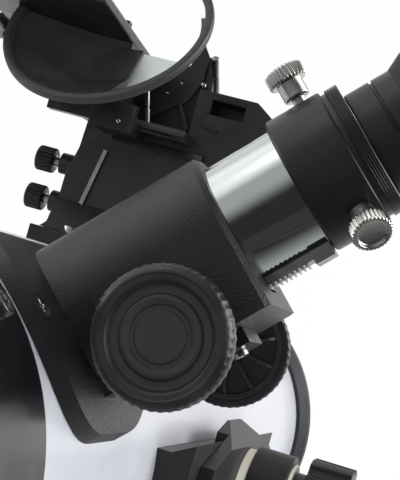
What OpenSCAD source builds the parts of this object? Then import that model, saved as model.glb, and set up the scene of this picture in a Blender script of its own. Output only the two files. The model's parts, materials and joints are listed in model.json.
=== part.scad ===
// Table-top Newtonian telescope on a one-arm rocker base, with a rack focuser and a phone dock.
// Millimetres, +Z up, origin on the table under the azimuth axis, telescope looking towards -Y.

/* [Stand] */
// Angle of the tube above level as it stands
tube_altitude = 30; // [25:1:35]
// Height of the altitude axis above the table
axis_height = 345; // [340:1:365]
// Radius of the ground board
ground_r = 140; // [130:1:160]
// Radius of the turntable board
turntable_r = 150; // [146:1:165]
// Thickness of both round boards
board_t = 16; // [12:1:20]
// Height of the rubber feet
foot_h = 10; // [8:0.5:14]
// Radius of a rubber foot
foot_r = 15; // [10:0.5:18]
// Distance of the feet from the azimuth axis
foot_ring_r = 116; // [100:1:120]
// Height of the glide pads between the boards
pad_h = 3; // [2:0.5:5]
// Radius of a glide pad
pad_r = 11; // [8:0.5:14]
// Distance of the glide pads from the azimuth axis
pad_ring_r = 104; // [90:1:115]
// Radius of the azimuth bolt
azimuth_bolt_r = 5; // [4:0.5:7]
// Thickness of the arm panel
arm_t = 15; // [12:1:18]
// Radius of the round top of the arm
arm_top_r = 18; // [17:1:22]
// Half width of the arm at the turntable
arm_foot_half = 80; // [60:1:90]
// Height of the braces behind the arm
brace_h = 150; // [100:1:180]
// Depth of the braces behind the arm
brace_depth = 34; // [24:1:38]
// Thickness of a brace
brace_t = 12; // [8:1:16]

/* [Altitude bearing] */
// Radius of the altitude shaft
shaft_r = 8; // [6:0.5:9]
// Wall of the bearing bush
bush_wall = 3; // [2:0.5:4]
// Thickness of the friction washer
washer_t = 3.6; // [2:0.2:5]
// Outer radius of the friction washer
washer_r = 16; // [14:0.5:17]
// Radius of the tension knob
tension_knob_r = 20; // [16:0.5:24]
// Length of the tension knob along the axis
tension_knob_len = 22; // [16:1:30]

/* [Tube] */
// Outside diameter of the tube
tube_d = 143; // [140:0.5:146]
// Wall of the rolled tube
tube_wall = 1.2; // [0.8:0.1:2]
// Length of tube ahead of the focuser axis
front_reach = 92; // [86:1:104]
// Rear end of the tube behind the altitude axis
tube_rear = 256; // [250:1:262]
// Length of the front collar
collar_len = 43; // [36:1:50]
// Wall of the front collar
collar_wall = 1.4; // [1:0.1:3]
// Thickness of the lip that covers the front edge of the tube
collar_lip = 3; // [2:0.5:5]
// Width of the front lip from the tube's outside
lip_w = 7.5; // [5.5:0.5:10]
// Flare of the rear cell's rim outside the tube
rear_flare = 6.5; // [4.5:0.5:8.5]
// Length of the rear cell that shows outside the tube
rear_cell_len = 14; // [12:0.5:16]

/* [Optics] */
// Diameter of the primary mirror
primary_d = 114; // [100:1:118]
// Thickness of the primary mirror
primary_t = 16; // [12:1:20]
// Radius of curvature of the primary mirror
primary_curve = 1030; // [900:10:1300]
// Rubber spacers between the mirror plate and the rear cell
spacer_len = 12; // [8:0.5:16]
// Radius of the circle of collimation screws
collimation_ring_r = 40; // [34:1:46]
// Minor radius of the secondary mirror
secondary_r = 17; // [14:0.5:20]
// Thickness of the secondary mirror
secondary_t = 5; // [4:0.5:8]
// Spider ahead of the focuser axis
spider_ahead = 35; // [30:1:40]

/* [Saddle] */
// Half length of the dovetail bar along the tube
bar_half = 80; // [66:1:95]
// Half height of the dovetail bar at its wide face
bar_wide = 18.5; // [16:0.5:20]
// Half height of the dovetail bar at its narrow face
bar_narrow = 14; // [11:0.5:15]
// Distance from the tube to the wide face of the bar
bar_out = 12; // [10:0.5:14]
// Thickness of the saddle plate
saddle_t = 5; // [4:0.1:8]
// Half height of the saddle at its middle
saddle_high = 25; // [23:0.5:28]
// Half height of the saddle at its ends
saddle_low = 10.5; // [8:0.5:14]
// Half length of the saddle
saddle_half = 63; // [50:1:70]
// Height of the bevel along the saddle's upper edge
saddle_bevel = 8; // [5:0.5:8.5]

/* [Focuser] */
// Focuser axis ahead of the altitude axis
focuser_ahead = 153; // [150:1:156]
// Turn of the focuser from the top of the tube towards the arm
focuser_angle = 45; // [40:1:50]
// Radius of the focuser barrel
barrel_r = 22.9; // [22.5:0.1:24]
// Length of the focuser barrel from the tube's outside
barrel_len = 57.6; // [55.5:0.1:60.5]
// Thickness of the saddle flange on the tube
flange_t = 5; // [4:0.2:6]
// Radius of the flange's round ends
flange_end_r = 36; // [34:0.5:38]
// Middle of the front round end ahead of the focuser axis
flange_fore = 10.5; // [9:0.5:13]
// Middle of the rear round end behind the focuser axis
flange_aft = 15; // [13:0.5:17]
// Narrow side of the flange, away from the pinion
flange_narrow = 28; // [27:0.5:30]
// Radius of the sliding drawtube
draw_r = 18.73; // [18:0.01:19.2]
// Wall of the drawtube
draw_wall = 1.5; // [1.3:0.1:1.8]
// Height at which the drawtube stands out of the barrel
draw_out = 21.7; // [20.5:0.1:26]
// Length of the drawtube inside the barrel
draw_in = 51; // [48:0.5:54]
// Tooth module of the rack and pinion
gear_module = 0.5; // [0.45:0.05:0.55]
// Teeth of the pinion
pinion_teeth = 15; // [14:1:16]
// Width of the rack
rack_w = 8; // [6:0.5:10]
// Distance of the pinion axis from the tube's outside
pinion_up = 31.5; // [29.5:0.5:33.5]
// Half width of the pinion cover
cover_half = 10.5; // [9:0.5:13]
// Radius of the pinion shaft
pinion_shaft_r = 2; // [1.6:0.1:2.2]
// Radius of the focus knobs
knob_r = 19.55; // [18:0.05:21]
// Inner edge of the knob grips from the focuser axis
knob_inner = 45.5; // [43:0.5:48]
// Width of the knob grips
grip_w = 5.8; // [5:0.1:7]

/* [Eyepiece] */
// Radius of the eyepiece adapter
adapter_r = 21.4; // [21:0.1:23]
// Length of the plain part of the adapter
adapter_len = 18.1; // [17:0.1:20]
// Radius of the camera thread on the adapter
camera_thread_r = 20.9; // [20.5:0.05:20.95]
// Length of the camera thread
camera_thread_len = 4; // [3:0.5:6]
// Diameter of the eyepiece barrel
eyepiece_d = 31.75; // [31.6:0.05:31.8]
// Radius of the eyepiece body
eyepiece_body_r = 16.6; // [16.4:0.1:18]
// Length of the eyepiece body
eyepiece_body_len = 14.6; // [12:0.1:20]
// Radius of the eyecup rim
eyecup_r = 19.4; // [18.5:0.1:20.5]
// Length of the eyecup
eyecup_len = 11; // [9:0.5:16]
// Angle between the two clamping thumbscrews
thumbscrew_spread = 140; // [110:1:150]

/* [Phone dock] */
// Dock stalk behind the focuser axis
dock_behind = 145; // [138:1:152]
// Left side of the dock stalk from the tube's middle plane
stalk_left = 10.5; // [10:0.5:13]
// Half depth of the dock stalk along the tube
stalk_half = 14; // [13:0.5:16]
// Height of the dock stalk above the tube
stalk_h = 52.5; // [50.5:0.5:55.5]
// Thickness of the dock floor
dock_floor_t = 4; // [3:0.5:6]
// Radius of the round hood opening
hood_r = 40.8; // [39:0.2:42]
// Depth of the hood
hood_depth = 22; // [20:1:24]
// Radius of the closed back of the hood
hood_throat = 10; // [8:0.5:13]
// Wall of the hood
hood_wall = 2; // [1.6:0.1:2.6]
// Upward tilt of the hood opening against the tube
hood_pitch = 34; // [32:1:36]
// Sideways turn of the hood opening
hood_yaw = -10.5; // [-12:0.5:-9]
// Width of the reflector mirror across the dock
reflector_w = 21; // [17:0.5:22]
// Length of the reflector mirror down its slope
reflector_len = 26; // [22:0.5:28]
// Lean of the reflector mirror towards the rear
reflector_lean = 39; // [37:1:42]
// Tilt of the phone tray against the tube
tray_tilt = 5.3; // [4:0.1:7]
// Thickness of the phone tray
tray_t = 4; // [3:0.5:6]
// Depth of the phone tray along the tube
tray_depth = 90; // [84:1:100]
// Width of the phone tray
tray_w = 88; // [80:1:100]

/* [Fits] */
// Gap round a piece that is fixed in its seat
seat_gap = 0.1; // [0.05:0.05:0.2]
// Gap round a piece that runs or slides
run_gap = 0.06; // [0.02:0.01:0.1]
// Gap between flat faces of pieces that move past each other
face_gap = 0.3; // [0.2:0.05:0.5]

/* [Hidden] */

// Stand levels
ground_z = foot_h;
ground_top = ground_z + board_t;
turntable_z = ground_top + pad_h + seat_gap;
turntable_top = turntable_z + board_t;
bolt_head_h = 6.5;
bolt_recess = bolt_head_h + 1.5;
nut_h = 8.5;
bolt_end = turntable_top + face_gap + nut_h + 3;
wood_screw_r = 2.5;
wood_screw_head_r = 5;
wood_screw_head_h = 3;
wood_screw_len = 45;
feet_angles = [0, 120, 240];

// Tube and saddle
tube_r = tube_d / 2;
tube_in = tube_r - tube_wall;
tube_front = focuser_ahead + front_reach;
aperture_r = tube_r - lip_w;
rear_rim_r = tube_r + rear_flare;
collar_in = tube_r + seat_gap;
collar_r = collar_in + collar_wall;
collar_front = -(tube_front + collar_lip);
collar_rear = collar_front + collar_len;
bar_wide_x = tube_r + bar_out;
bar_narrow_x = bar_wide_x - 8;
plate_x = bar_wide_x + 2 * seat_gap;
saddle_x = plate_x + saddle_t;
arm_x = saddle_x + washer_t + face_gap;
arm_out = arm_x + arm_t;
bush_r = shaft_r + run_gap + bush_wall;
bush_flange_t = 1.5;
knob_x = arm_out + bush_flange_t + face_gap;
shaft_end = knob_x + tension_knob_len - 8;
jaw_x = bar_wide_x - 4.5;
upper_jaw_half = 27;
jaw_half = 20;
jaw_low = bar_wide + 8.5;
jaw_travel = 3.5;
lug_top = jaw_low + jaw_travel + 1;
lug_t = 5.5;
clamp_r = 2.5;
clamp_x = (bar_wide_x + bar_narrow_x) / 2;
clamp_head_r = 10;
clamp_head_h = 12;
// Height of the bar's slanted side where the clamp screw points at it
bar_at_clamp = (bar_wide + bar_narrow) / 2;

// Radial screws through the tube: angle from the top, place along the tube
end_screw_r = 1.5;
end_screw_head_r = 3.6;
end_screw_head_h = 2;
collar_screw_in = 12;
collar_screw_y = collar_rear - collar_screw_in;
collar_angles = [for (i = [0:3]) focuser_angle + 90 * i];
rear_angles = [0, 120, 240];
spider_angles = [0, 90, 180, 270];
spider_y = -(focuser_ahead + spider_ahead);
spider_hub_len = 10;
spider_hub_r = 9;
vane_t = 0.8;
spider_screw_r = 1.5;
mount_screw_r = 2.5;
mount_screw_head_r = 4.5;
mount_screw_head_h = 3;
mount_screw_len = 16;
bar_screw_y = bar_half * 0.62;

// Rear cell and primary mirror
rear_end = tube_rear + seat_gap + 7;
rear_front = rear_end - rear_cell_len;
rear_plug_in = tube_in - 4.3;
web_t = 5;
web_depth = 21;
web_front = rear_end - web_depth;
plate_t = 6;
plate_rear = web_front - spacer_len;
plate_front = plate_rear - plate_t;
plate_r = primary_d / 2 + 5;
primary_r = primary_d / 2;
primary_front = plate_front - primary_t;
clip_w = 10;
collimation_r = 3;
collimation_head_r = 9;
collimation_head_h = 11;
collimation_angles = [60, 180, 300];

// Secondary mirror
holder_r = secondary_r - 1.5;
holder_front = -24;
secondary_bolt_r = 3;
secondary_set_r = 1.5;
secondary_set_ring = 6;
secondary_head_h = 4;

// Focuser
barrel_end = tube_r + barrel_len;
flange_top = tube_r + flange_t;
pinion_height = tube_r + pinion_up;
pinion_pitch_r = gear_module * pinion_teeth / 2;
rack_pitch = PI * gear_module;
rack_seat = draw_r - 0.7;
rack_line = draw_r + 2.77;
pinion_s = rack_line + pinion_pitch_r;
tooth_root = 1.2 * gear_module;
tooth_tip = 0.8 * gear_module;
root_half = 0.84 * gear_module;
tip_half = 0.36 * gear_module;
pinion_half = 5;
housing_s = pinion_s + pinion_shaft_r + 1.2;
cover_t = 4.7;
cover_low = pinion_height - 14.5;
cover_high = pinion_height + 14.5;
rim_bevel = 1.6;
housing_half = barrel_r;
housing_low = cover_low - 3;
rack_block_s = rack_line + 1;
rack_slot_s = rack_block_s + 0.5;
channel_half = rack_w / 2 + 3.5;
channel_s = rack_slot_s + 3.3;
draw_low = barrel_end - draw_in;
adapter_low = barrel_end + draw_out;
socket_depth = 6;
draw_high = adapter_low + socket_depth - seat_gap;
rack_low = draw_low + 1;
rack_high = adapter_low - face_gap;
rack_block_len = 6.4;
focuser_screw_r = 2;
focuser_screw_head_r = 3.6;
focuser_screw_head_h = 2.2;
focuser_screw_inset = 7;
focuser_screw_len = 15;
focuser_screws_at = [-flange_fore - flange_end_r + focuser_screw_inset,
  flange_aft + flange_end_r - focuser_screw_inset];
cover_screw_r = 1.2;
cover_screw_up = 9;
cover_screw_in = 4;

// Knobs
grip_in = knob_r - 2.6;
knob_face = knob_inner + 4.1;
knob_hub_r = 5;
knob_hub_len = 9.5;
knob_hub_in = knob_inner - knob_hub_len;
knob_ribs = 10;
knob_scallops = 48;
shaft_half = knob_inner + 0.5;

// Eyepiece adapter and eyepiece
adapter_high = adapter_low + adapter_len;
groove_w = 1.5;
thread_low = adapter_high + groove_w;
thread_high = thread_low + camera_thread_len;
eyepiece_r = eyepiece_d / 2;
adapter_bore = eyepiece_r + run_gap;
thumb_height = adapter_low + 12.1;
thumb_r = 2;
thumb_hub_r = 4;
thumb_head_r = 6;
thumb_tip = adapter_bore + face_gap;
thumb_hub_at = adapter_r + 2;
thumb_head_at = thumb_hub_at + 5.5;
thumb_end = thumb_head_at + 4.5;
eye_wall = 2.6;
eye_low = thread_high + seat_gap;
eye_high = eye_low + eyepiece_body_len;
eye_barrel_len = 27;
lens_r = eyepiece_body_r - eye_wall - seat_gap - 1;
lens_curve = 60;

// Phone dock
dock_y = dock_behind - focuser_ahead;
stalk_top = tube_r + stalk_h;
shoe_top = tube_r + 6.5;
shoe_half = 16;
shoe_long = 22;
tongue_half = stalk_left - 4;
tongue_long = stalk_half - 4;
tongue_top = stalk_top - 16;
stalk_low = shoe_top + mount_screw_head_h + 1;
shoe_screw_y = tongue_long + mount_screw_head_r + 1;
dock_screw_levels = [stalk_top - 18.2, stalk_top - 34.2];
dock_screw_r = 2;
dock_boss_r = 4.4;
dock_boss_len = 7.5;
dock_head_r = 5.2;
dock_head_h = 7.5;
dock_thumb_at = stalk_left + dock_boss_len;
floor_top = stalk_top + dock_floor_t;
floor_left = 22;
floor_tab = 6;
floor_right = 36;
floor_front = 25;
floor_rear = 24;
gusset_right = 58;
arm_block_right = 66;
arm_block_high = floor_top + 19.5;
arm_block_depth = 22;
post_r = 0.9;
post_len = 20;
post_tilt = 54.5;
stalk_waist = 11;
stalk_hip = 23;
neck_right = 17;
neck_fore = 35;
neck_step = 30;
hood_y = -45;
hood_up = 34;
hood_u = stalk_top + hood_up;
hood_lip = 3;
hood_ring = 5;
hood_over = 12;
cheek_x = 5;
bowl_right = cheek_x + 5.3;
bowl_drop = 2.4;
cheek_t = 3;
cheek_fore = 4;
cheek_up = 6;
cheek_back = 15;
cheek_drop = 18;
wall_y = 0;
wall_t = 4;
wall_right = 31;
reflector_t = 3;
reflector_y = -14;
reflector_up = 28.3;
reflector_u = floor_top + reflector_up;
tray_front = 55;
tray_rear = tray_depth - tray_front;
tray_lip = 10;
slot_half = 3.3;
slot_places = [-0.7 * tray_w, -0.24 * tray_w];
clamp_lip = 12;
clamp_t = 4;
clamp_from = 18;
clamp_travel = 20;
clamp_foot = slot_half + 2;

// Local frames: along the tube, across the tube wall, at the focuser and at the dock
module ota() {
  translate([0, 0, axis_height]) rotate([-tube_altitude, 0, 0]) children();
}

module aroundTube(angle, y) {
  rotate([0, angle, 0]) translate([0, y, 0]) children();
}

module focuser() {
  ota() aroundTube(focuser_angle, -focuser_ahead) children();
}

module dock() {
  ota() translate([0, dock_y, 0]) children();
}

// Cylinder along the tube between two places
module rod(r, y0, y1) {
  translate([0, y0, 0]) rotate([-90, 0, 0]) cylinder(r = r, h = y1 - y0, $fn = 96);
}

// Solid of revolution about the tube direction
module turned(points) {
  rotate([-90, 0, 0]) rotate_extrude($fn = 96) polygon(points);
}

// Solid of revolution about the local z axis
module spun(points) {
  rotate_extrude($fn = 96) polygon(points);
}

// Flat outline in the plane across x, from x0 to x1
module acrossX(x0, x1) {
  translate([x0, 0, 0]) rotate([90, 0, 90]) linear_extrude(x1 - x0) children();
}

// Flat outline in the plane across y, from y0 to y1
module acrossY(y0, y1) {
  translate([0, y1, 0]) rotate([90, 0, 0]) linear_extrude(y1 - y0) children();
}

module box(low, high) {
  translate(low) cube(high - low);
}

module roundRect(x0, x1, y0, y1, r) {
  translate([x0 + r, y0]) square([x1 - x0 - 2 * r, y1 - y0]);
  translate([x0, y0 + r]) square([x1 - x0, y1 - y0 - 2 * r]);
  for (x = [x0 + r, x1 - r], y = [y0 + r, y1 - r]) translate([x, y]) circle(r = r, $fn = 48);
}

// Cross-head screw along z, with the underside of its head at z = 0
module crossScrew(headR, headH, shankR, shankLen) {
  difference() {
    union() {
      cylinder(r = headR, h = headH, $fn = 48);
      translate([0, 0, -shankLen]) cylinder(r = shankR, h = shankLen + headH / 2, $fn = 32);
    }
    for (a = [0, 90]) rotate([0, 0, a])
      box([-headR * 0.55, -headR * 0.13, headH * 0.45], [headR * 0.55, headR * 0.13, headH * 2]);
  }
}

// Knurled thumbscrew along z from its tip, hub and head start at their own heights
module thumbScrew(shankR, hubR, headR, tip, hubAt, headAt, end, notches) {
  difference() {
    union() {
      translate([0, 0, tip]) cylinder(r = shankR, h = hubAt - tip + 1, $fn = 32);
      translate([0, 0, hubAt]) cylinder(r = hubR, h = headAt - hubAt + 0.5, $fn = 48);
      translate([0, 0, headAt]) cylinder(r = headR, h = end - headAt, $fn = 64);
    }
    translate([0, 0, end - 1.2]) cylinder(r = headR * 0.72, h = 2, $fn = 48);
    for (i = [0:notches - 1]) rotate([0, 0, 360 * i / notches])
      translate([headR + 0.1, 0, headAt - 1]) cylinder(r = headR * 0.075, h = end - headAt + 2, $fn = 16);
  }
}

// Base
module ground_board() {
  color("#2b2b2d") difference() {
    translate([0, 0, ground_z]) cylinder(r = ground_r, h = board_t, $fn = 128);
    translate([0, 0, ground_z - 1]) cylinder(r = azimuth_bolt_r + seat_gap, h = board_t + 2, $fn = 48);
    translate([0, 0, ground_z - 1]) cylinder(r = azimuth_bolt_r * 2.4, h = bolt_recess + 1, $fn = 48);
  }
}

module ground_feet() {
  color("#1c1c1e") for (a = feet_angles) rotate([0, 0, a]) translate([foot_ring_r, 0, 0])
    cylinder(r1 = foot_r * 0.85, r2 = foot_r, h = foot_h, $fn = 48);
}

module glide_pads() {
  color("white") for (a = feet_angles) rotate([0, 0, a]) translate([pad_ring_r, 0, ground_top])
    cylinder(r = pad_r, h = pad_h, $fn = 48);
}

module azimuth_bolt() {
  head_z = ground_z + bolt_recess - bolt_head_h;
  color("silver") {
    translate([0, 0, head_z]) cylinder(r = azimuth_bolt_r * 1.8, h = bolt_head_h, $fn = 6);
    translate([0, 0, head_z]) cylinder(r = azimuth_bolt_r, h = bolt_end - head_z, $fn = 48);
  }
}

module azimuth_nut() {
  color("silver") translate([0, 0, turntable_top + face_gap]) difference() {
    union() {
      cylinder(r = azimuth_bolt_r * 1.8, h = nut_h, $fn = 6);
      cylinder(r = azimuth_bolt_r * 2.2, h = nut_h * 0.2, $fn = 48);
    }
    translate([0, 0, -1]) cylinder(r = azimuth_bolt_r + run_gap, h = nut_h + 2, $fn = 48);
  }
}

// Places of the screws that come up through the turntable into the arm and its braces
function arm_screw_places() =
  [for (s = [-1, 1]) each [[(arm_x + arm_out) / 2, s * arm_foot_half * 0.6],
    [arm_out + brace_depth * 0.6, s * arm_foot_half * 0.475]]];

module turntable_board() {
  color("#2b2b2d") difference() {
    translate([0, 0, turntable_z]) cylinder(r = turntable_r, h = board_t, $fn = 128);
    translate([0, 0, turntable_z - 1]) cylinder(r = azimuth_bolt_r + run_gap, h = board_t + 2, $fn = 48);
    for (p = arm_screw_places()) translate([p[0], p[1], turntable_z - 1]) {
      cylinder(r = wood_screw_r + seat_gap, h = board_t + 2, $fn = 32);
      cylinder(r = wood_screw_head_r + seat_gap, h = wood_screw_head_h + 1.5, $fn = 48);
    }
  }
}

module side_arm() {
  color("#303033") difference() {
    acrossX(arm_x, arm_out) difference() {
      union() {
        polygon([[-arm_foot_half, turntable_top], [arm_foot_half, turntable_top],
          [arm_top_r, axis_height], [-arm_top_r, axis_height]]);
        translate([0, axis_height]) circle(r = arm_top_r, $fn = 96);
      }
      translate([0, axis_height]) circle(r = bush_r + seat_gap, $fn = 96);
    }
    armScrewHoles();
  }
}

module armScrewHoles() {
  for (p = arm_screw_places()) translate([p[0], p[1], turntable_z])
    cylinder(r = wood_screw_r + seat_gap, h = wood_screw_len + 2, $fn = 32);
}

module arm_braces() {
  top = turntable_top + brace_h;
  mid = arm_foot_half * 0.475;
  color("#303033") for (s = [-1, 1]) translate([0, s * mid, 0]) difference() {
    acrossY(-brace_t / 2, brace_t / 2) polygon([[arm_out, turntable_top],
      [arm_out + brace_depth, turntable_top], [arm_out + brace_depth, turntable_top + 12],
      [arm_out + 8, top], [arm_out, top]]);
    translate([0, -s * mid, 0]) armScrewHoles();
  }
}

module arm_screws() {
  color("silver") for (p = arm_screw_places())
    translate([p[0], p[1], turntable_z + wood_screw_head_h]) mirror([0, 0, 1])
      crossScrew(wood_screw_head_r, wood_screw_head_h - 0.5, wood_screw_r,
        wood_screw_len - wood_screw_head_h);
}

module altitude_bush() {
  color("#e8e4da") translate([0, 0, axis_height]) rotate([0, 90, 0]) difference() {
    union() {
      translate([0, 0, arm_x]) cylinder(r = bush_r, h = arm_t, $fn = 64);
      translate([0, 0, arm_out]) cylinder(r = bush_r + 4, h = bush_flange_t, $fn = 64);
    }
    translate([0, 0, arm_x - 1]) cylinder(r = shaft_r + run_gap, h = arm_t + 5, $fn = 64);
  }
}

// Altitude head, turning with the tube
module saddleOutline() {
  flat = saddle_half / 5;
  polygon([[-saddle_half, saddle_low], [-flat, saddle_high], [flat, saddle_high], [saddle_half, saddle_low],
    [saddle_half, -saddle_low], [flat, -saddle_high], [-flat, -saddle_high], [-saddle_half, -saddle_low]]);
}

// Half height of the bar's slanted side at a distance from the tube axis
function barSide(x) = bar_narrow + (x - bar_narrow_x) * (bar_wide - bar_narrow) / (bar_wide_x - bar_narrow_x);

// Cross section of a clamping jaw on the upper side of the bar
module jawSection(from, high) {
  to = plate_x + seat_gap;
  polygon([[from, barSide(from) + face_gap], [to, barSide(to) + face_gap], [to, high], [from, high]]);
}

module tube_saddle() {
  bevel_from = [jaw_x + 1, saddle_high];
  bevel_run = [saddle_x, saddle_high - saddle_bevel] - bevel_from;
  color("#3a3a3e") ota() difference() {
    union() {
      acrossX(plate_x, saddle_x) saddleOutline();
      intersection() {
        acrossX(jaw_x, plate_x + saddle_t / 2) saddleOutline();
        acrossY(-upper_jaw_half, upper_jaw_half) jawSection(jaw_x, saddle_high + 1);
      }
      box([plate_x, -jaw_half * 0.6, -lug_top - lug_t], [saddle_x, jaw_half * 0.6, -saddle_low]);
      box([bar_narrow_x, -jaw_half * 0.6, -lug_top - lug_t], [saddle_x, jaw_half * 0.6, -lug_top]);
    }
    acrossY(-2 * saddle_half, 2 * saddle_half) polygon([bevel_from - 0.2 * bevel_run,
      bevel_from + 1.3 * bevel_run, [saddle_x + saddle_high, 2 * saddle_high]]);
    translate([plate_x + 0.8, 0, 0]) rotate([0, 90, 0])
      cylinder(r = shaft_r + seat_gap, h = saddle_t + 1, $fn = 64);
    translate([clamp_x, 0, -lug_top - lug_t - 1]) cylinder(r = clamp_r + run_gap, h = lug_t + 2, $fn = 32);
  }
}

module saddle_jaw() {
  color("#3a3a3e") ota() difference() {
    intersection() {
      box([bar_narrow_x, -jaw_half, -jaw_low], [plate_x - face_gap, jaw_half, 0]);
      mirror([0, 0, 1]) acrossY(-jaw_half, jaw_half) jawSection(bar_narrow_x, jaw_low + 1);
    }
    translate([clamp_x, 0, -jaw_low - 1]) cylinder(r = clamp_r + run_gap, h = jaw_low, $fn = 32);
  }
}

module clamp_knob() {
  tip = -bar_at_clamp - 2;
  head = -lug_top - lug_t - face_gap;
  color("#232325") ota() translate([clamp_x, 0, 0]) difference() {
    union() {
      translate([0, 0, head - 1]) cylinder(r = clamp_r, h = tip - head + 1, $fn = 32);
      translate([0, 0, head - clamp_head_h]) cylinder(r = clamp_head_r, h = clamp_head_h, $fn = 64);
    }
    for (i = [0:7]) rotate([0, 0, 45 * i])
      translate([clamp_head_r + 1.2, 0, head - clamp_head_h - 1])
        cylinder(r = 2.4, h = clamp_head_h + 2, $fn = 24);
  }
}

module altitude_shaft() {
  color("silver") ota() rotate([0, 90, 0]) translate([0, 0, plate_x + 0.8])
    cylinder(r = shaft_r, h = shaft_end - plate_x - 0.8, $fn = 64);
}

module friction_washer() {
  color("#d9d6cc") ota() rotate([0, 90, 0]) translate([0, 0, saddle_x]) difference() {
    cylinder(r = washer_r, h = washer_t, $fn = 64);
    translate([0, 0, -1]) cylinder(r = shaft_r + seat_gap, h = washer_t + 2, $fn = 64);
  }
}

module tension_knob() {
  color("#232325") ota() rotate([0, 90, 0]) translate([0, 0, knob_x]) difference() {
    union() {
      cylinder(r = tension_knob_r * 0.62, h = tension_knob_len, $fn = 64);
      translate([0, 0, 5]) cylinder(r = tension_knob_r, h = tension_knob_len - 5, $fn = 96);
    }
    translate([0, 0, -1]) cylinder(r = shaft_r + run_gap, h = shaft_end - knob_x + 1.5, $fn = 64);
    for (i = [0:9]) rotate([0, 0, 36 * i])
      translate([tension_knob_r + 2, 0, 4]) cylinder(r = 4, h = tension_knob_len, $fn = 32);
  }
}

module dovetail_bar() {
  color("#1f1f21") ota() difference() {
    acrossY(-bar_half, bar_half) polygon([[tube_r * 0.9, -bar_narrow], [bar_narrow_x, -bar_narrow],
      [bar_wide_x, -bar_wide], [bar_wide_x, bar_wide], [bar_narrow_x, bar_narrow],
      [tube_r * 0.9, bar_narrow]]);
    rod(tube_r + seat_gap, -bar_half - 1, bar_half + 1);
    for (s = [-1, 1]) aroundTube(90, s * bar_screw_y) {
      cylinder(r = mount_screw_r + seat_gap, h = tube_d, $fn = 32);
      translate([0, 0, bar_wide_x - mount_screw_head_h - 0.4])
        cylinder(r = mount_screw_head_r + seat_gap, h = tube_d, $fn = 48);
    }
  }
}

module mount_screws() {
  color("silver") ota() {
    for (s = [-1, 1]) aroundTube(90, s * bar_screw_y)
      translate([0, 0, bar_wide_x - mount_screw_head_h - 0.4])
      crossScrew(mount_screw_head_r, mount_screw_head_h, mount_screw_r, mount_screw_len);
    for (s = [-1, 1]) aroundTube(0, dock_y + s * shoe_screw_y) translate([0, 0, shoe_top])
      crossScrew(mount_screw_head_r, mount_screw_head_h, mount_screw_r, mount_screw_len);
  }
}

// Tube and its ends
module tubeScrewHoles() {
  for (a = collar_angles) aroundTube(a, collar_screw_y)
    cylinder(r = end_screw_r + seat_gap, h = tube_d, $fn = 24);
  for (a = rear_angles) aroundTube(a, rear_front + 3.5)
    cylinder(r = end_screw_r + seat_gap, h = tube_d, $fn = 24);
  for (a = spider_angles) aroundTube(a, spider_y)
    cylinder(r = spider_screw_r + seat_gap, h = tube_d, $fn = 24);
  for (s = [-1, 1]) {
    aroundTube(90, s * bar_screw_y) cylinder(r = mount_screw_r + seat_gap, h = tube_d, $fn = 32);
    aroundTube(0, dock_y + s * shoe_screw_y) cylinder(r = mount_screw_r + seat_gap, h = tube_d, $fn = 32);
  }
}

module focuserScrewHoles() {
  for (y = focuser_screws_at) translate([0, y, 0])
    cylinder(r = focuser_screw_r + seat_gap, h = tube_d, $fn = 32);
}

module tube() {
  color("#d9dbe2") ota() difference() {
    rod(tube_r, -tube_front, tube_rear);
    rod(tube_in, -tube_front - 1, tube_rear + 1);
    aroundTube(focuser_angle, -focuser_ahead) {
      cylinder(r = draw_r + 2.2, h = tube_d, $fn = 64);
      box([0, -rack_w / 2 - 1, 0], [rack_slot_s + 0.5, rack_w / 2 + 1, tube_d]);
      focuserScrewHoles();
    }
    tubeScrewHoles();
  }
}

module front_collar() {
  color("#17171a") ota() difference() {
    turned([[aperture_r, collar_front], [collar_r - 1, collar_front], [collar_r, collar_front + 1],
      [collar_r, collar_rear - 0.6], [collar_r - 0.6, collar_rear], [collar_in, collar_rear],
      [collar_in, -tube_front], [aperture_r, -tube_front]]);
    tubeScrewHoles();
  }
}

module rear_cell() {
  color("#2a2a2d") ota() difference() {
    turned([[0, web_front], [rear_plug_in, web_front], [rear_plug_in, web_front - 5],
      [tube_in - seat_gap, web_front - 5], [tube_in - seat_gap, tube_rear + seat_gap],
      [tube_r + seat_gap, tube_rear + seat_gap], [tube_r + seat_gap, rear_front],
      [tube_r + 2, rear_front], [rear_rim_r, rear_front + 5], [rear_rim_r, rear_end - 1.5],
      [rear_rim_r - 1.5, rear_end], [rear_plug_in, rear_end], [rear_plug_in, web_front + web_t],
      [0, web_front + web_t]]);
    for (a = rear_angles) aroundTube(a, rear_front + 3.5) {
      cylinder(r = end_screw_r + seat_gap, h = tube_d, $fn = 24);
      translate([0, 0, tube_r + 2]) cylinder(r = end_screw_head_r + seat_gap, h = 20, $fn = 48);
    }
    for (a = collimation_angles) rotate([0, a, 0]) translate([0, 0, collimation_ring_r])
      rod(collimation_r + run_gap, web_front - 1, web_front + web_t + 1);
  }
}

module tube_end_screws() {
  color("#9a9a9e") ota() {
    for (a = collar_angles) aroundTube(a, collar_screw_y) translate([0, 0, collar_r])
      crossScrew(end_screw_head_r, end_screw_head_h, end_screw_r, 5);
    for (a = rear_angles) aroundTube(a, rear_front + 3.5) translate([0, 0, tube_r + 2])
      crossScrew(end_screw_head_r, end_screw_head_h, end_screw_r, 5);
  }
}

module mirror_plate() {
  color("#b9bbc0") ota() difference() {
    rod(plate_r, plate_front, plate_rear);
    for (a = collimation_angles) rotate([0, a, 0]) translate([0, 0, collimation_ring_r])
      rod(collimation_r + run_gap, plate_front + 1, plate_rear + 1);
  }
}

// Depth of the mirror's hollow face below its rim, at a distance from the middle
function hollowAt(r) = (primary_r * primary_r - r * r) / (2 * primary_curve);

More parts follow.
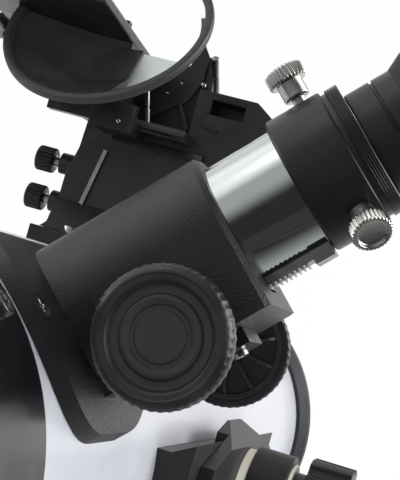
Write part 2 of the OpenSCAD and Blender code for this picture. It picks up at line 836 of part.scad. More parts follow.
module primary_mirror() {
  color("#e9f0f4") ota() turned(concat([[0, plate_front], [primary_r, plate_front],
    [primary_r, primary_front + 0.5], [primary_r - 0.5, primary_front + hollowAt(primary_r - 0.5)]],
    [for (i = [9:-1:0]) [(primary_r - 0.5) * i / 10, primary_front + hollowAt((primary_r - 0.5) * i / 10)]]));
}

module mirror_clips() {
  color("#1c1c1e") ota() for (i = [0:2]) rotate([0, 120 * i, 0]) {
    box([-clip_w / 2, primary_front - 2.2, primary_r + 0.5], [clip_w / 2, plate_front, primary_r + 3.5]);
    box([-clip_w / 2, primary_front - 2.2, primary_r - 3], [clip_w / 2, primary_front - 0.2, primary_r + 1]);
  }
}

module spacer_sleeves() {
  color("#2c2c2c") ota() for (a = collimation_angles) rotate([0, a, 0]) translate([0, 0, collimation_ring_r])
    difference() {
      rod(collimation_r + 4, plate_rear, web_front);
      rod(collimation_r + face_gap, plate_rear - 1, web_front + 1);
    }
}

module collimationKnob(angle) {
  head = web_front + web_t + face_gap;
  color("#2a2a2d") ota() rotate([0, angle, 0]) translate([0, 0, collimation_ring_r]) difference() {
    union() {
      rod(collimation_r, plate_front + 1.5, head + 1);
      rod(collimation_head_r, head, head + collimation_head_h);
    }
    for (i = [0:11]) rotate([0, 30 * i, 0]) translate([collimation_head_r + 0.7, 0, 0])
      rod(1.6, head - 1, head + collimation_head_h + 1);
  }
}

module collimation_knob_1() collimationKnob(collimation_angles[0]);
module collimation_knob_2() collimationKnob(collimation_angles[1]);
module collimation_knob_3() collimationKnob(collimation_angles[2]);

module spider() {
  half = spider_hub_len / 2;
  color("#1a1a1c") ota() difference() {
    union() {
      rod(spider_hub_r, spider_y - half, spider_y + half);
      for (a = spider_angles) rotate([0, a, 0]) {
        box([-vane_t / 2, spider_y - half, spider_hub_r - 1], [vane_t / 2, spider_y + half, tube_in - 2]);
        box([-3, spider_y - half, tube_in - 5], [3, spider_y + half, tube_in - 0.3]);
      }
    }
    for (a = spider_angles) aroundTube(a, spider_y)
      translate([0, 0, tube_in - 4]) cylinder(r = spider_screw_r + seat_gap, h = 9, $fn = 24);
    rod(secondary_bolt_r + seat_gap, spider_y - half - 1, spider_y + half + 1);
    for (i = [0:2]) rotate([0, 120 * i + 60, 0]) translate([0, 0, secondary_set_ring])
      rod(secondary_set_r + seat_gap, spider_y - half - 1, spider_y + half + 1);
  }
}

module spider_screws() {
  color("#9a9a9e") ota() for (a = spider_angles) aroundTube(a, spider_y) translate([0, 0, tube_r + seat_gap])
    crossScrew(end_screw_head_r, end_screw_head_h, spider_screw_r, tube_wall + 3.5);
}

// Half space behind the face of the secondary mirror, shifted back by an offset
module behindSecondary(offset) {
  reach = 4 * secondary_r;
  rotate([-45, 0, 0]) box([-reach, -reach, -reach - offset], [reach, reach, -offset]);
}

module secondary_holder() {
  color("#1a1a1c") focuser() difference() {
    intersection() {
      rod(holder_r, holder_front, 2 * secondary_r);
      behindSecondary(secondary_t + seat_gap);
    }
    rod(secondary_bolt_r + seat_gap, holder_front - 1, holder_front + 6);
  }
}

module secondary_mirror() {
  color("#e9f0f4") focuser() intersection() {
    rod(secondary_r, -2 * secondary_r - 8, 2 * secondary_r);
    difference() {
      behindSecondary(0);
      behindSecondary(secondary_t);
    }
  }
}

module secondary_screws() {
  front = spider_y - spider_hub_len / 2;
  seat = -focuser_ahead + holder_front;
  color("#9a9a9e") ota() {
    rod(secondary_bolt_r, front, seat + 5.5);
    rod(secondary_bolt_r * 1.2, front - secondary_head_h, front);
    for (i = [0:2]) rotate([0, 120 * i + 60, 0]) translate([0, 0, secondary_set_ring]) {
      rod(secondary_set_r, front, seat - 0.1);
      rod(secondary_set_r * 1.3, front - 2, front);
    }
  }
}

// Focuser: local x runs round the tube, y along it and z out along the drawtube
module focuser_body() {
  color("#242427") focuser() difference() {
    union() {
      intersection() {
        linear_extrude(flange_top + 1) flangeOutline();
        rod(flange_top, -3 * flange_end_r, 3 * flange_end_r);
      }
      spun([[0, 0], [barrel_r, 0], [barrel_r, barrel_end - rim_bevel],
        [barrel_r - rim_bevel, barrel_end], [0, barrel_end]]);
      box([0, -housing_half, housing_low], [housing_s, housing_half, barrel_end]);
      box([0, -channel_half, 0], [channel_s, channel_half, barrel_end]);
    }
    for (side = [0, 1]) mirror([0, side, 0]) acrossX(0, 2 * housing_s) polygon([
      [-housing_half - 1, barrel_end - rim_bevel - 1], [-housing_half - 1, barrel_end + 1],
      [-housing_half + rim_bevel + 1, barrel_end + 1]]);
    rod(tube_r + seat_gap, -3 * flange_end_r, 3 * flange_end_r);
    cylinder(r = draw_r + run_gap, h = 2 * barrel_end, $fn = 96);
    box([0, -rack_w / 2 - face_gap, 0], [rack_slot_s, rack_w / 2 + face_gap, 2 * barrel_end]);
    pinionPocket();
    translate([pinion_s, 0, pinion_height])
      rod(pinion_shaft_r + run_gap, -2 * housing_half, 2 * housing_half);
    focuserScrewHoles();
    for (y = focuser_screws_at) translate([0, y, flange_top - focuser_screw_head_h])
      cylinder(r = focuser_screw_head_r + seat_gap, h = 6, $fn = 48);
    coverScrewHoles(housing_s - cover_screw_in - 0.3);
  }
}

// Oval of two round ends, cut straight on the side away from the pinion
module flangeOutline() {
  intersection() {
    union() {
      translate([0, -flange_fore]) circle(r = flange_end_r, $fn = 128);
      translate([0, flange_aft]) circle(r = flange_end_r, $fn = 128);
      translate([-flange_end_r, -flange_fore]) square([2 * flange_end_r, flange_fore + flange_aft]);
    }
    translate([-flange_narrow, -2 * flange_end_r]) square([2 * flange_end_r, 4 * flange_end_r]);
  }
}

// Room for the pinion, open to the rack and to the cover
module pinionPocket() {
  room = pinion_pitch_r + tooth_tip + 0.5;
  half = pinion_half + face_gap;
  translate([pinion_s, 0, pinion_height]) rod(room, -half, half);
  box([pinion_s, -half, pinion_height - room], [housing_s + 0.2, half, pinion_height + room]);
  box([rack_line - tooth_tip, -half, pinion_height - room], [pinion_s, half, pinion_height + room]);
}

// Places of the two cover screws, above and below the pinion
module atCoverScrews(from) {
  for (side = [-1, 1]) translate([from, 0, pinion_height + side * cover_screw_up]) rotate([0, 90, 0])
    children();
}

module coverScrewHoles(from) {
  atCoverScrews(from) cylinder(r = cover_screw_r + seat_gap, h = housing_s, $fn = 24);
}

module focuser_screws() {
  color("#9a9a9e") focuser() for (y = focuser_screws_at)
    translate([0, y, flange_top - focuser_screw_head_h])
      crossScrew(focuser_screw_head_r, focuser_screw_head_h - 0.4, focuser_screw_r,
        focuser_screw_len);
}

module drawtube() {
  color("#e6e8ea") focuser() difference() {
    translate([0, 0, draw_low]) cylinder(r = draw_r, h = draw_high - draw_low, $fn = 96);
    translate([0, 0, draw_low - 1]) cylinder(r = draw_r - draw_wall, h = draw_high - draw_low + 2, $fn = 96);
    box([rack_seat, -rack_w / 2 - seat_gap, draw_low - 1],
      [2 * draw_r, rack_w / 2 + seat_gap, rack_high + seat_gap]);
  }
}

// One rack tooth between two gaps, as points along the rack
function rackTooth(z) = [[rack_line - tooth_root, z - root_half], [rack_line + tooth_tip, z - tip_half],
  [rack_line + tooth_tip, z + tip_half], [rack_line - tooth_root, z + root_half]];

module focus_rack() {
  block_low = rack_high - rack_block_len;
  first = ceil((rack_low + 1 - pinion_height) / rack_pitch);
  last = floor((block_low - 1 - pinion_height) / rack_pitch) - 1;
  color("#d4d6d8") focuser() acrossY(-rack_w / 2, rack_w / 2) polygon(concat(
    [[rack_seat + seat_gap / 2, rack_low], [rack_line - tooth_root, rack_low]],
    [for (i = [first:last]) each rackTooth(pinion_height + (i + 0.5) * rack_pitch)],
    [[rack_line - tooth_root, block_low], [rack_block_s, block_low],
      [rack_block_s, rack_high], [rack_seat + seat_gap / 2, rack_high]]));
}

module pinion_shaft() {
  step = 360 / pinion_teeth;
  root = pinion_pitch_r - tooth_root + 0.05;
  tip = pinion_pitch_r + tooth_tip - 0.1;
  root_turn = root_half / root * 180 / PI;
  tip_turn = tip_half / tip * 180 / PI;
  color("#c8cacc") focuser() translate([pinion_s, 0, pinion_height]) {
    rod(pinion_shaft_r, -shaft_half, shaft_half);
    acrossY(-pinion_half, pinion_half) polygon([for (i = [0:pinion_teeth - 1]) each
      [for (c = [[root, -root_turn], [tip, -tip_turn], [tip, tip_turn], [root, root_turn]])
        c[0] * [cos(180 + step * i + c[1]), sin(180 + step * i + c[1])]]]);
  }
}

// Focus knob along +z, hollow towards the focuser
module focusKnob() {
  spun([[pinion_shaft_r + seat_gap, knob_hub_in], [knob_hub_r, knob_hub_in], [knob_hub_r, knob_inner + 1],
    [grip_in - 2, knob_inner + 1], [grip_in - 2, knob_inner - 0.3], [grip_in, knob_inner - 0.3],
    [grip_in, knob_face + 0.9], [grip_in - 1, knob_face + 1.6], [grip_in - 3, knob_face + 1.6],
    [grip_in - 4, knob_face + 0.6], [knob_hub_r, knob_face], [0, knob_face],
    [0, shaft_half + 0.2], [pinion_shaft_r + seat_gap, shaft_half + 0.2]]);
  for (i = [0:knob_ribs - 1]) rotate([0, 0, 360 * i / knob_ribs])
    box([knob_hub_r - 0.5, -0.6, knob_inner - 3], [grip_in - 1.5, 0.6, knob_inner + 1.5]);
}

module atKnob(side) {
  focuser() translate([pinion_s, 0, pinion_height]) rotate([side * 90, 0, 0]) children();
}

module near_knob() color("#3c3d41") atKnob(1) focusKnob();
module far_knob() color("#3c3d41") atKnob(-1) focusKnob();

module knob_grips() {
  color("#2e2f33") for (side = [1, -1]) atKnob(side) difference() {
    spun([[grip_in + seat_gap, knob_inner - 0.3], [knob_r - 0.5, knob_inner - 0.3],
      [knob_r, knob_inner + 0.3],
      [knob_r, knob_face - 0.3], [knob_r - 0.7, knob_inner + grip_w - 0.8],
      [knob_r - 1.8, knob_inner + grip_w], [grip_in + seat_gap, knob_inner + grip_w]]);
    for (i = [0:knob_scallops - 1]) rotate([0, 0, 360 * (i + 0.5) / knob_scallops])
      translate([knob_r + 0.6, 0, knob_inner - 1]) cylinder(r = 0.9, h = grip_w + 2, $fn = 20);
  }
}

module pinion_cover() {
  color("#6a6b6e") focuser() difference() {
    box([housing_s, -cover_half, cover_low], [housing_s + cover_t, cover_half, cover_high]);
    pinionPocket();
    coverScrewHoles(housing_s - 1);
  }
}

module cover_screws() {
  color("#c8cacc") focuser() atCoverScrews(housing_s + cover_t)
    crossScrew(2.1, 1.6, cover_screw_r, cover_t + cover_screw_in);
}

// Eyepiece end, carried by the drawtube
module atThumb(turn) {
  focuser() translate([0, 0, thumb_height]) rotate([0, 0, turn]) rotate([0, -90, 0]) children();
}

module eyepiece_adapter() {
  socket = draw_r + seat_gap;
  seat = adapter_low + socket_depth;
  color("#1b1b1d") difference() {
    focuser() spun([[socket, adapter_low], [adapter_r - 0.8, adapter_low], [adapter_r, adapter_low + 0.8],
      [adapter_r, adapter_high - 0.5], [adapter_r - 0.5, adapter_high], [camera_thread_r - 0.8, adapter_high],
      [camera_thread_r - 0.8, thread_low], [camera_thread_r, thread_low],
      [camera_thread_r, thread_high - 0.4], [camera_thread_r - 0.4, thread_high],
      [adapter_bore, thread_high], [adapter_bore, seat], [socket, seat]]);
    for (turn = [0, thumbscrew_spread]) atThumb(turn)
      translate([0, 0, adapter_bore - 3]) cylinder(r = thumb_r + run_gap, h = 14, $fn = 32);
  }
}

module adapterThumb(turn) {
  color("#d8d6d0") atThumb(turn)
    thumbScrew(thumb_r, thumb_hub_r, thumb_head_r, thumb_tip, thumb_hub_at, thumb_head_at, thumb_end, 28);
}

module adapter_thumbscrew_1() adapterThumb(0);
module adapter_thumbscrew_2() adapterThumb(thumbscrew_spread);

module eyepiece_barrel() {
  color("#d8dadc") focuser() difference() {
    translate([0, 0, eye_low - eye_barrel_len]) cylinder(r = eyepiece_r, h = eye_barrel_len, $fn = 96);
    translate([0, 0, eye_low - eye_barrel_len - 1])
      cylinder(r = eyepiece_r - 1.5, h = eye_barrel_len + 2, $fn = 96);
  }
}

module eyepiece_body() {
  hollow = eyepiece_body_r - eye_wall;
  groove = eye_low + 8;
  color("#1b1b1d") focuser() spun([[hollow, eye_low], [eyepiece_body_r - 0.4, eye_low],
    [eyepiece_body_r, eye_low + 0.4], [eyepiece_body_r, groove], [eyepiece_body_r - 0.7, groove + 0.2],
    [eyepiece_body_r - 0.7, groove + 0.8], [eyepiece_body_r, groove + 1], [eyepiece_body_r, eye_high],
    [hollow - 1.5, eye_high], [hollow - 1.5, eye_high - 1.5], [hollow, eye_high - 1.5]]);
}

// Half thickness of a lens at a distance from its middle
function lensAt(r) = 1 + (lens_r * lens_r - r * r) / (2 * lens_curve);

module eyepiece_lenses() {
  rim = eyepiece_body_r - eye_wall - seat_gap;
  steps = [0, 0.25, 0.5, 0.75, 1];
  color("#cfe0ea") focuser() for (z = [eye_low + 4, eye_high - 5]) translate([0, 0, z]) spun(concat(
    [for (k = steps) [lens_r * k, -lensAt(lens_r * k)]], [[rim, -1], [rim, 1]],
    [for (i = [len(steps) - 1:-1:0]) [lens_r * steps[i], lensAt(lens_r * steps[i])]]));
}

module eyecup() {
  hollow = eyepiece_body_r - eye_wall - 1.5;
  top = eye_high + eyecup_len;
  color("#161618") focuser() spun([[hollow, eye_high], [eyepiece_body_r, eye_high],
    [eyecup_r - 0.8, eye_high + 4],
    [eyecup_r, eye_high + 5.5], [eyecup_r, top - 1], [eyecup_r - 1, top], [eyecup_r - 3, top],
    [eyecup_r - 4.5, eye_high + 4], [hollow, eye_high + 2.5]]);
}

// Phone dock, on top of the tube
module dock_shoe() {
  color("#29292c") dock() difference() {
    union() {
      box([-shoe_half, -shoe_long, 0], [shoe_half, shoe_long, shoe_top]);
      box([-tongue_half, -tongue_long, 0], [tongue_half, tongue_long, tongue_top]);
    }
    rod(tube_r + seat_gap, -2 * shoe_long, 2 * shoe_long);
    for (s = [-1, 1]) translate([0, s * shoe_screw_y, 0])
      cylinder(r = mount_screw_r + seat_gap, h = tube_d, $fn = 32);
  }
}

// The hood's own frame, z out of its round opening
module hoodFrame() {
  dock() translate([0, hood_y, hood_u]) rotate([90 - hood_pitch, 0, hood_yaw]) children();
}

// The tray's own frame, its underside at z = 0 and its inner edge at x = 0
module trayFrame() {
  dock() translate([cheek_x, reflector_y, reflector_u]) rotate([-tray_tilt, 0, 0]) children();
}

// Solid outline of the hood, larger all round by a gap
module hoodSolid(gap) {
  hoodFrame() spun([[0, gap], [hood_r + gap, gap], [hood_r + gap, -hood_lip],
    [hood_throat + hood_wall + gap, -hood_depth - gap], [0, -hood_depth - gap]]);
}

module dock_bracket() {
  post_x = floor_right - 2;
  floor_low = cheek_x + seat_gap;
  color("#232326") {
    dock() difference() {
      union() {
        acrossY(-stalk_half, stalk_half) polygon([[-stalk_left, stalk_low], [stalk_left, stalk_low],
          [gusset_right - 12, stalk_top - 8], [gusset_right, stalk_top + 1], [-stalk_left + 3, stalk_top + 1],
          [-stalk_left + 2.6, stalk_top - stalk_waist], [-stalk_left, stalk_top - stalk_hip]]);
        box([-floor_left, -floor_front, stalk_top], [floor_right, floor_tab - floor_front, floor_top]);
        box([2 - stalk_left, -floor_front, stalk_top], [floor_right, floor_rear, floor_top]);
        for (u = dock_screw_levels) translate([-dock_thumb_at, 0, u]) rotate([0, 90, 0])
          cylinder(r = dock_boss_r, h = dock_boss_len + 1, $fn = 48);
        acrossY(-stalk_half, arm_block_depth - stalk_half) polygon([[post_x, stalk_top],
          [arm_block_right, stalk_top], [arm_block_right, arm_block_high - 5.5],
          [arm_block_right - 8, arm_block_high], [post_x, arm_block_high]]);
        acrossY(wall_y, wall_y + wall_t) polygon([[floor_low, stalk_top + 1], [post_x, stalk_top + 1],
          [post_x + 1, arm_block_high], [post_x, hood_u - 1], [wall_right, hood_u + cheek_up - 1],
          [wall_right - 3, hood_u + cheek_up - 1],
          [cheek_x + reflector_w, hood_u + 1], [cheek_x + 0.7 * reflector_w, hood_u - 4],
          [floor_low, hood_u - hood_over]]);
        translate([post_x + 0.5, wall_y + 1, hood_u - 2]) rotate([post_tilt, 0, 0]) {
          translate([0, 0, -post_len / 2]) cylinder(r = post_r, h = post_len, $fn = 24);
          translate([0, 0, -post_len / 2]) cylinder(r = post_r * 1.35, h = post_len / 2, $fn = 24);
        }
      }
      box([-tongue_half - face_gap, -tongue_long - face_gap, stalk_low - 1],
        [tongue_half + face_gap, tongue_long + face_gap, tongue_top + 1.5]);
      for (u = dock_screw_levels) translate([-dock_thumb_at - 1, 0, u]) rotate([0, 90, 0])
        cylinder(r = dock_screw_r + run_gap, h = dock_thumb_at + 1, $fn = 32);
      box([floor_right + 4, -stalk_half - 1, arm_block_high - 9],
        [arm_block_right - 12, 0, arm_block_high - 3]);
    }
    difference() {
      dock() {
        box([0, -neck_fore, stalk_top - 3], [neck_right, -stalk_half + 1, floor_top - seat_gap]);
        box([0, -neck_fore, stalk_top - 3], [neck_right, -neck_step, floor_top + 4]);
        box([0, -neck_fore, stalk_top - 3], [cheek_x - seat_gap, -neck_step, floor_top + 8]);
      }
      hoodSolid(seat_gap);
    }
  }
}

module dockThumb(level) {
  color("#1d1d1f") dock() translate([0, 0, level]) rotate([0, -90, 0])
    thumbScrew(dock_screw_r, dock_screw_r, dock_head_r, tongue_half + face_gap + 0.1, dock_thumb_at,
      dock_thumb_at + 3, dock_thumb_at + 3 + dock_head_h, 20);
}

module dock_thumbscrew_1() dockThumb(dock_screw_levels[0]);
module dock_thumbscrew_2() dockThumb(dock_screw_levels[1]);

// Mirror plate with a gap all round, its upper front edge on the tray's inner corner
module reflector(gap) {
  dock() translate([cheek_x, reflector_y, reflector_u - 0.6]) rotate([-reflector_lean, 0, 0])
    box([seat_gap - gap, -gap, -reflector_len - gap], [reflector_w + gap, reflector_t + gap, gap]);
}

module dock_hood() {
  far = 4 * hood_r;
  color("#2a2a2d") difference() {
    union() {
      hoodFrame() spun([[hood_r - hood_wall, 0], [hood_r, 0], [hood_r, -hood_lip],
        [hood_throat + hood_wall, -hood_depth], [0, -hood_depth], [0, -hood_depth + hood_wall],
        [hood_throat, -hood_depth + hood_wall], [hood_r - hood_wall, -hood_lip]]);
      difference() {
        dock() acrossX(cheek_x - cheek_t, cheek_x) polygon([[hood_y - cheek_fore, hood_u + cheek_up],
          [reflector_y - cheek_back, reflector_u - cheek_drop], [2 - floor_front, floor_top],
          [floor_rear - cheek_fore, floor_top], [floor_rear - cheek_fore, hood_u + cheek_up]]);
        hoodFrame() spun([[0, hood_r], [hood_r - 1, hood_r], [hood_r - 1, -hood_lip],
          [hood_throat + 1, 1 - hood_depth], [0, 1 - hood_depth]]);
      }
    }
    trayFrame() box([-far, -far, 0], [0, far, far]);
    trayFrame() box([-far, -far, hood_over], [far, far, far]);
    intersection() {
      dock() box([bowl_right, -far, 0], [far, far, 2 * far]);
      hoodFrame() box([-far, -far, -far], [far, far, -hood_ring]);
    }
    trayFrame() box([-0.2, -far, -bowl_drop], [bowl_right - cheek_x + 1, far, far]);
    dock() box([-far, -floor_front - seat_gap, 0], [far, far, floor_top]);
    reflector(seat_gap);
    for (x = slot_places) trayFrame() box([x - clamp_foot - 1, tray_rear - clamp_from - clamp_travel - 6, -4],
      [x + clamp_foot + 1, tray_rear, 1]);
  }
}

// A pane of the mirror's width and length, its lower right corner trimmed to the round of the hood
module dock_mirror() {
  right = reflector_w;
  low = 1.6 - reflector_len;
  color("#dfe6ea") dock() translate([cheek_x, reflector_y, reflector_u - 0.6]) rotate([-reflector_lean, 0, 0])
    acrossY(0, reflector_t) polygon([[seat_gap, 0], [right - 1.7, 0], [right - 4.1, 0.27 * low],
      [right - 7, 0.5 * low], [right - 9.6, 0.67 * low], [right - 12.3, 0.82 * low], [right - 16, low],
      [seat_gap, low]]);
}

module phone_tray() {
  color("#232326") trayFrame() difference() {
    union() {
      box([-tray_w, -tray_front, 0], [0, tray_rear, tray_t]);
      box([-tray_w, -tray_front, 0], [0, -tray_front + 4, tray_lip]);
      box([-tray_w, -tray_front, 0], [-tray_w + 4, tray_rear, tray_lip]);
    }
    for (x = slot_places) box([x - slot_half, tray_rear - clamp_from - clamp_travel - 6, -1],
      [x + slot_half, tray_rear - 4, tray_t + 1]);
  }
}

module phone_clamp() {
  jaw = tray_t + face_gap;
  near = tray_rear - clamp_from;
  left = slot_places[0] - 8;
  right = slot_places[1] + 8;
  guide = slot_half - face_gap;
  color("#1d1d1f") trayFrame() {
    box([left, near, jaw], [right, near + clamp_t, jaw + clamp_lip]);
    box([left, near, jaw], [right, tray_rear - 5, jaw + 3]);
    for (x = slot_places) {
      box([x - guide, near + 2, -face_gap - 1], [x + guide, tray_rear - 8, jaw + 1]);
      box([x - clamp_foot, near + 2, -face_gap - 2.5], [x + clamp_foot, tray_rear - 8, -face_gap]);
    }
  }
}

ground_board();
ground_feet();
glide_pads();
azimuth_bolt();
azimuth_nut();
turntable_board();
side_arm();
arm_braces();
arm_screws();
altitude_bush();
tube_saddle();
altitude_shaft();
friction_washer();
tension_knob();
saddle_jaw();
clamp_knob();
dovetail_bar();
mount_screws();
tube();
front_collar();
tube_end_screws();
rear_cell();
mirror_plate();
primary_mirror();
mirror_clips();
spacer_sleeves();
collimation_knob_1();
collimation_knob_2();
collimation_knob_3();
spider();
spider_screws();
secondary_holder();
secondary_mirror();
secondary_screws();
focuser_body();
focuser_screws();
drawtube();
focus_rack();
pinion_shaft();
near_knob();
far_knob();
knob_grips();
pinion_cover();
cover_screws();
eyepiece_adapter();
adapter_thumbscrew_1();
adapter_thumbscrew_2();
eyepiece_barrel();
eyepiece_body();
eyepiece_lenses();
eyecup();
dock_shoe();
dock_bracket();
dock_thumbscrew_1();
dock_thumbscrew_2();
dock_hood();
dock_mirror();
phone_tray();
phone_clamp();
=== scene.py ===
import json
import math
import bmesh
import bpy
import numpy as np
from mathutils import Matrix, Vector

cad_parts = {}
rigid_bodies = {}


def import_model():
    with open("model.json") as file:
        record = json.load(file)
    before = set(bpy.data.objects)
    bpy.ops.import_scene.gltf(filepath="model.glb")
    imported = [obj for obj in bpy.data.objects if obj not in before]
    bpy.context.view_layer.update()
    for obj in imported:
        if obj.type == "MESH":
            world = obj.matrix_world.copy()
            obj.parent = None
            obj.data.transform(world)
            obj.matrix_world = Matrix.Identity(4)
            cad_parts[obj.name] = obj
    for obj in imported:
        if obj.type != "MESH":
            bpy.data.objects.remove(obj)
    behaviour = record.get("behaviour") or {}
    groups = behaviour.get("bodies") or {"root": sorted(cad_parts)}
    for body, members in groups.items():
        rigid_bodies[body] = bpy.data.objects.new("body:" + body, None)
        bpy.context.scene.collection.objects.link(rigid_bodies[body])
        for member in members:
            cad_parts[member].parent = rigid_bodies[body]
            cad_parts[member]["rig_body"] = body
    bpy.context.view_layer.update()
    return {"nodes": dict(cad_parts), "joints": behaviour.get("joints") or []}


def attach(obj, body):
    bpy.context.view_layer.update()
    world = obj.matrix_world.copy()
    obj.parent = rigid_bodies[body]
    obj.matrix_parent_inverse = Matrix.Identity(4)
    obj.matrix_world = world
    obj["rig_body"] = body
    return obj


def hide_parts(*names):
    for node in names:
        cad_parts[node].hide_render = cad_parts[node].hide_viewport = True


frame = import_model()
nodes = frame["nodes"]
joints = {joint["name"]: joint for joint in frame["joints"]}
perMetre = 1000.0  # millimetres
print("frame: %d nodes, %d joints" % (len(nodes), len(joints)))


# local frames, taken from the joints so that a piece sits where the solids are

# a vector divided by its length
def unit(vector):
    vector = np.array(vector, float)
    return vector / np.linalg.norm(vector)


tubeDir = unit(joints["focus_pinion"]["axis"])  # along the tube, to the rear
focusDir = unit(joints["focus_slide"]["axis"])  # out along the drawtube
sideDir = np.cross(tubeDir, focusDir)  # round the tube, towards the pinion
upDir = unit(joints["dock_lift"]["axis"])  # square to the tube, upwards
acrossDir = np.array([1.0, 0.0, 0.0])
altitudeAt = np.array(joints["altitude"]["pos_m"]) * [0, 1, 1]  # on the tube's axis
pinionAt = np.array(joints["focus_pinion"]["pos_m"])


# the point of the tube's axis that is level with a joint
def onTubeAxis(name):
    offset = np.array(joints[name]["pos_m"]) - altitudeAt
    return altitudeAt + tubeDir * np.dot(offset, tubeDir)


focuserAt = onTubeAxis("focus_slide")
dockAt = onTubeAxis("dock_lift")


# a place is an origin in metres and three axes
def place(origin, xAxis, yAxis, zAxis):
    return np.array(origin, float), np.array([xAxis, yAxis, zAxis], float)


# points in millimetres to metres: the origin plus each coordinate along its axis
def toWorld(where, points):
    origin, axes = where
    return origin + np.asarray(points) / perMetre @ axes


focuserPlace = place(focuserAt, sideDir, tubeDir, focusDir)
nearKnobPlace = place(pinionAt, sideDir, focusDir, -tubeDir)
farKnobPlace = place(pinionAt, sideDir, -focusDir, tubeDir)
dockPlace = place(dockAt, acrossDir, tubeDir, upDir)
barPlace = place(dockAt, tubeDir, acrossDir, upDir)


# meshes

# distances in metres, angles in degrees; setBack is the most of a side that a rounded corner takes
meshRules = dict(merge=2e-6, thin=1e-6, solidMerge=5e-6, flatAngle=0.6, turnedAngle=35, edgeAngle=28,
                 edgeSegments=2, setBack=0.49, shortest=1e-9)


# joins a grid of points into quads, each row of points to the next and each point to its neighbour
def gridFaces(rows, columns, wrapRows, wrapColumns):
    row = np.arange(rows if wrapRows else rows - 1)[:, None]
    column = np.arange(columns if wrapColumns else columns - 1)[None, :]
    nextRow, nextColumn = (row + 1) % rows, (column + 1) % columns
    corners = [row * columns + column, nextRow * columns + column,
               nextRow * columns + nextColumn, row * columns + nextColumn]
    return np.stack(corners, -1).reshape(-1, 4)


# one object from points and faces: doubles merged, thin faces taken out if asked, normals outwards
def meshObject(name, points, faces, dropThin):
    mesh = bpy.data.meshes.new(name)
    mesh.from_pydata(np.concatenate(points).tolist(), [], faces)
    work = bmesh.new()
    work.from_mesh(mesh)
    bmesh.ops.remove_doubles(work, verts=work.verts, dist=meshRules["merge"])
    if dropThin:
        bmesh.ops.dissolve_degenerate(work, edges=work.edges, dist=meshRules["thin"])
    bmesh.ops.recalc_face_normals(work, faces=work.faces)
    work.to_mesh(mesh)
    work.free()
    piece = bpy.data.objects.new(name, mesh)
    bpy.context.scene.collection.objects.link(piece)
    return piece


# smooth faces, sharp where two of them meet at more than the angle
def shadeSmooth(piece, angle):
    piece.data.shade_smooth()
    piece.data.set_sharp_from_angle(angle=math.radians(angle))


# several grids in one object, each (points, wrapRows, wrapColumns)
def gridObject(name, grids):
    points, faces, count = [], [], 0
    for grid, wrapRows, wrapColumns in grids:
        rows, columns = grid.shape[:2]
        points.append(grid.reshape(-1, 3))
        faces += (gridFaces(rows, columns, wrapRows, wrapColumns) + count).tolist()
        count += rows * columns
    piece = meshObject(name, points, faces, True)
    shadeSmooth(piece, meshRules["turnedAngle"])
    return piece


# one object from a grid that closes both ways, put in each of the places
def closedObject(name, grid, *places):
    return gridObject(name, [(toWorld(where, grid), True, True) for where in places])


# rounds each corner (x, y, back) of a closed outline: a quadratic arc between points set back along both sides
def rounded(outline, steps=4):
    outline = np.array(outline, float)
    corner, radius = outline[:, :2], outline[:, 2]
    before, after = np.roll(corner, 1, 0) - corner, np.roll(corner, -1, 0) - corner
    lengthBefore = np.maximum(np.linalg.norm(before, axis=1), meshRules["shortest"])
    lengthAfter = np.maximum(np.linalg.norm(after, axis=1), meshRules["shortest"])
    back = np.minimum(radius, meshRules["setBack"] * np.minimum(lengthBefore, lengthAfter))
    start = corner + before / lengthBefore[:, None] * back[:, None]
    end = corner + after / lengthAfter[:, None] * back[:, None]
    t = np.linspace(0, 1, steps)[None, :, None]
    arc = (1 - t) ** 2 * start[:, None] + 2 * t * (1 - t) * corner[:, None] + t ** 2 * end[:, None]
    return arc.reshape(-1, 2)


# turns an outline of (radius, height) about z; shape(angle, radius, height) may change the radius
def turned(outline, steps, shape=None):
    angle = np.linspace(0, 2 * np.pi, steps, endpoint=False)[:, None]
    radius, height = outline[:, 0][None, :] + 0 * angle, outline[:, 1][None, :] + 0 * angle
    if shape:
        radius = shape(angle, radius, height)
    return np.stack([radius * np.cos(angle), radius * np.sin(angle), height], -1)


# carries a closed outline in (x, z) straight along y
def swept(outline, yLow, yHigh):
    y = np.array([[yLow], [yHigh]], float)
    x, z = outline[:, 0][None, :] + 0 * y, outline[:, 1][None, :] + 0 * y
    return np.stack([x, y + 0 * x, z], -1)


# adds a disc of one repeated middle point at each end of a swept outline, so that it closes
def closedEnds(grid):
    middle = grid.mean(1, keepdims=True) + 0 * grid
    return np.concatenate([middle[:1], grid, middle[-1:]], 0)


# straight pieces in one object, each (place, outline, low, high) swept from low to high, edges rounded
def prismObject(name, prisms, cornerSteps, edge):
    points, faces, count = [], [], 0
    for where, outline, low, high in prisms:
        grid = swept(rounded(outline, cornerSteps), low, high)
        columns = grid.shape[1]
        points.append(toWorld(where, grid).reshape(-1, 3))
        faces += (gridFaces(2, columns, False, True) + count).tolist()
        faces += (np.arange(2 * columns).reshape(2, columns) + count).tolist()
        count += 2 * columns
    piece = meshObject(name, points, faces, False)
    roundEdges(piece, edge)
    return piece


# a rounded strip of the width in millimetres where faces meet at more than the edge angle
def roundEdges(piece, width):
    shadeSmooth(piece, meshRules["edgeAngle"])
    if width:
        bevel = piece.modifiers.new("edge", "BEVEL")
        bevel.width = width / perMetre
        bevel.segments = meshRules["edgeSegments"]
        bevel.limit_method = "ANGLE"
        bevel.angle_limit = math.radians(meshRules["edgeAngle"])
        bevel.use_clamp_overlap = True
        bevel.harden_normals = False
        bevel.miter_outer = "MITER_ARC"


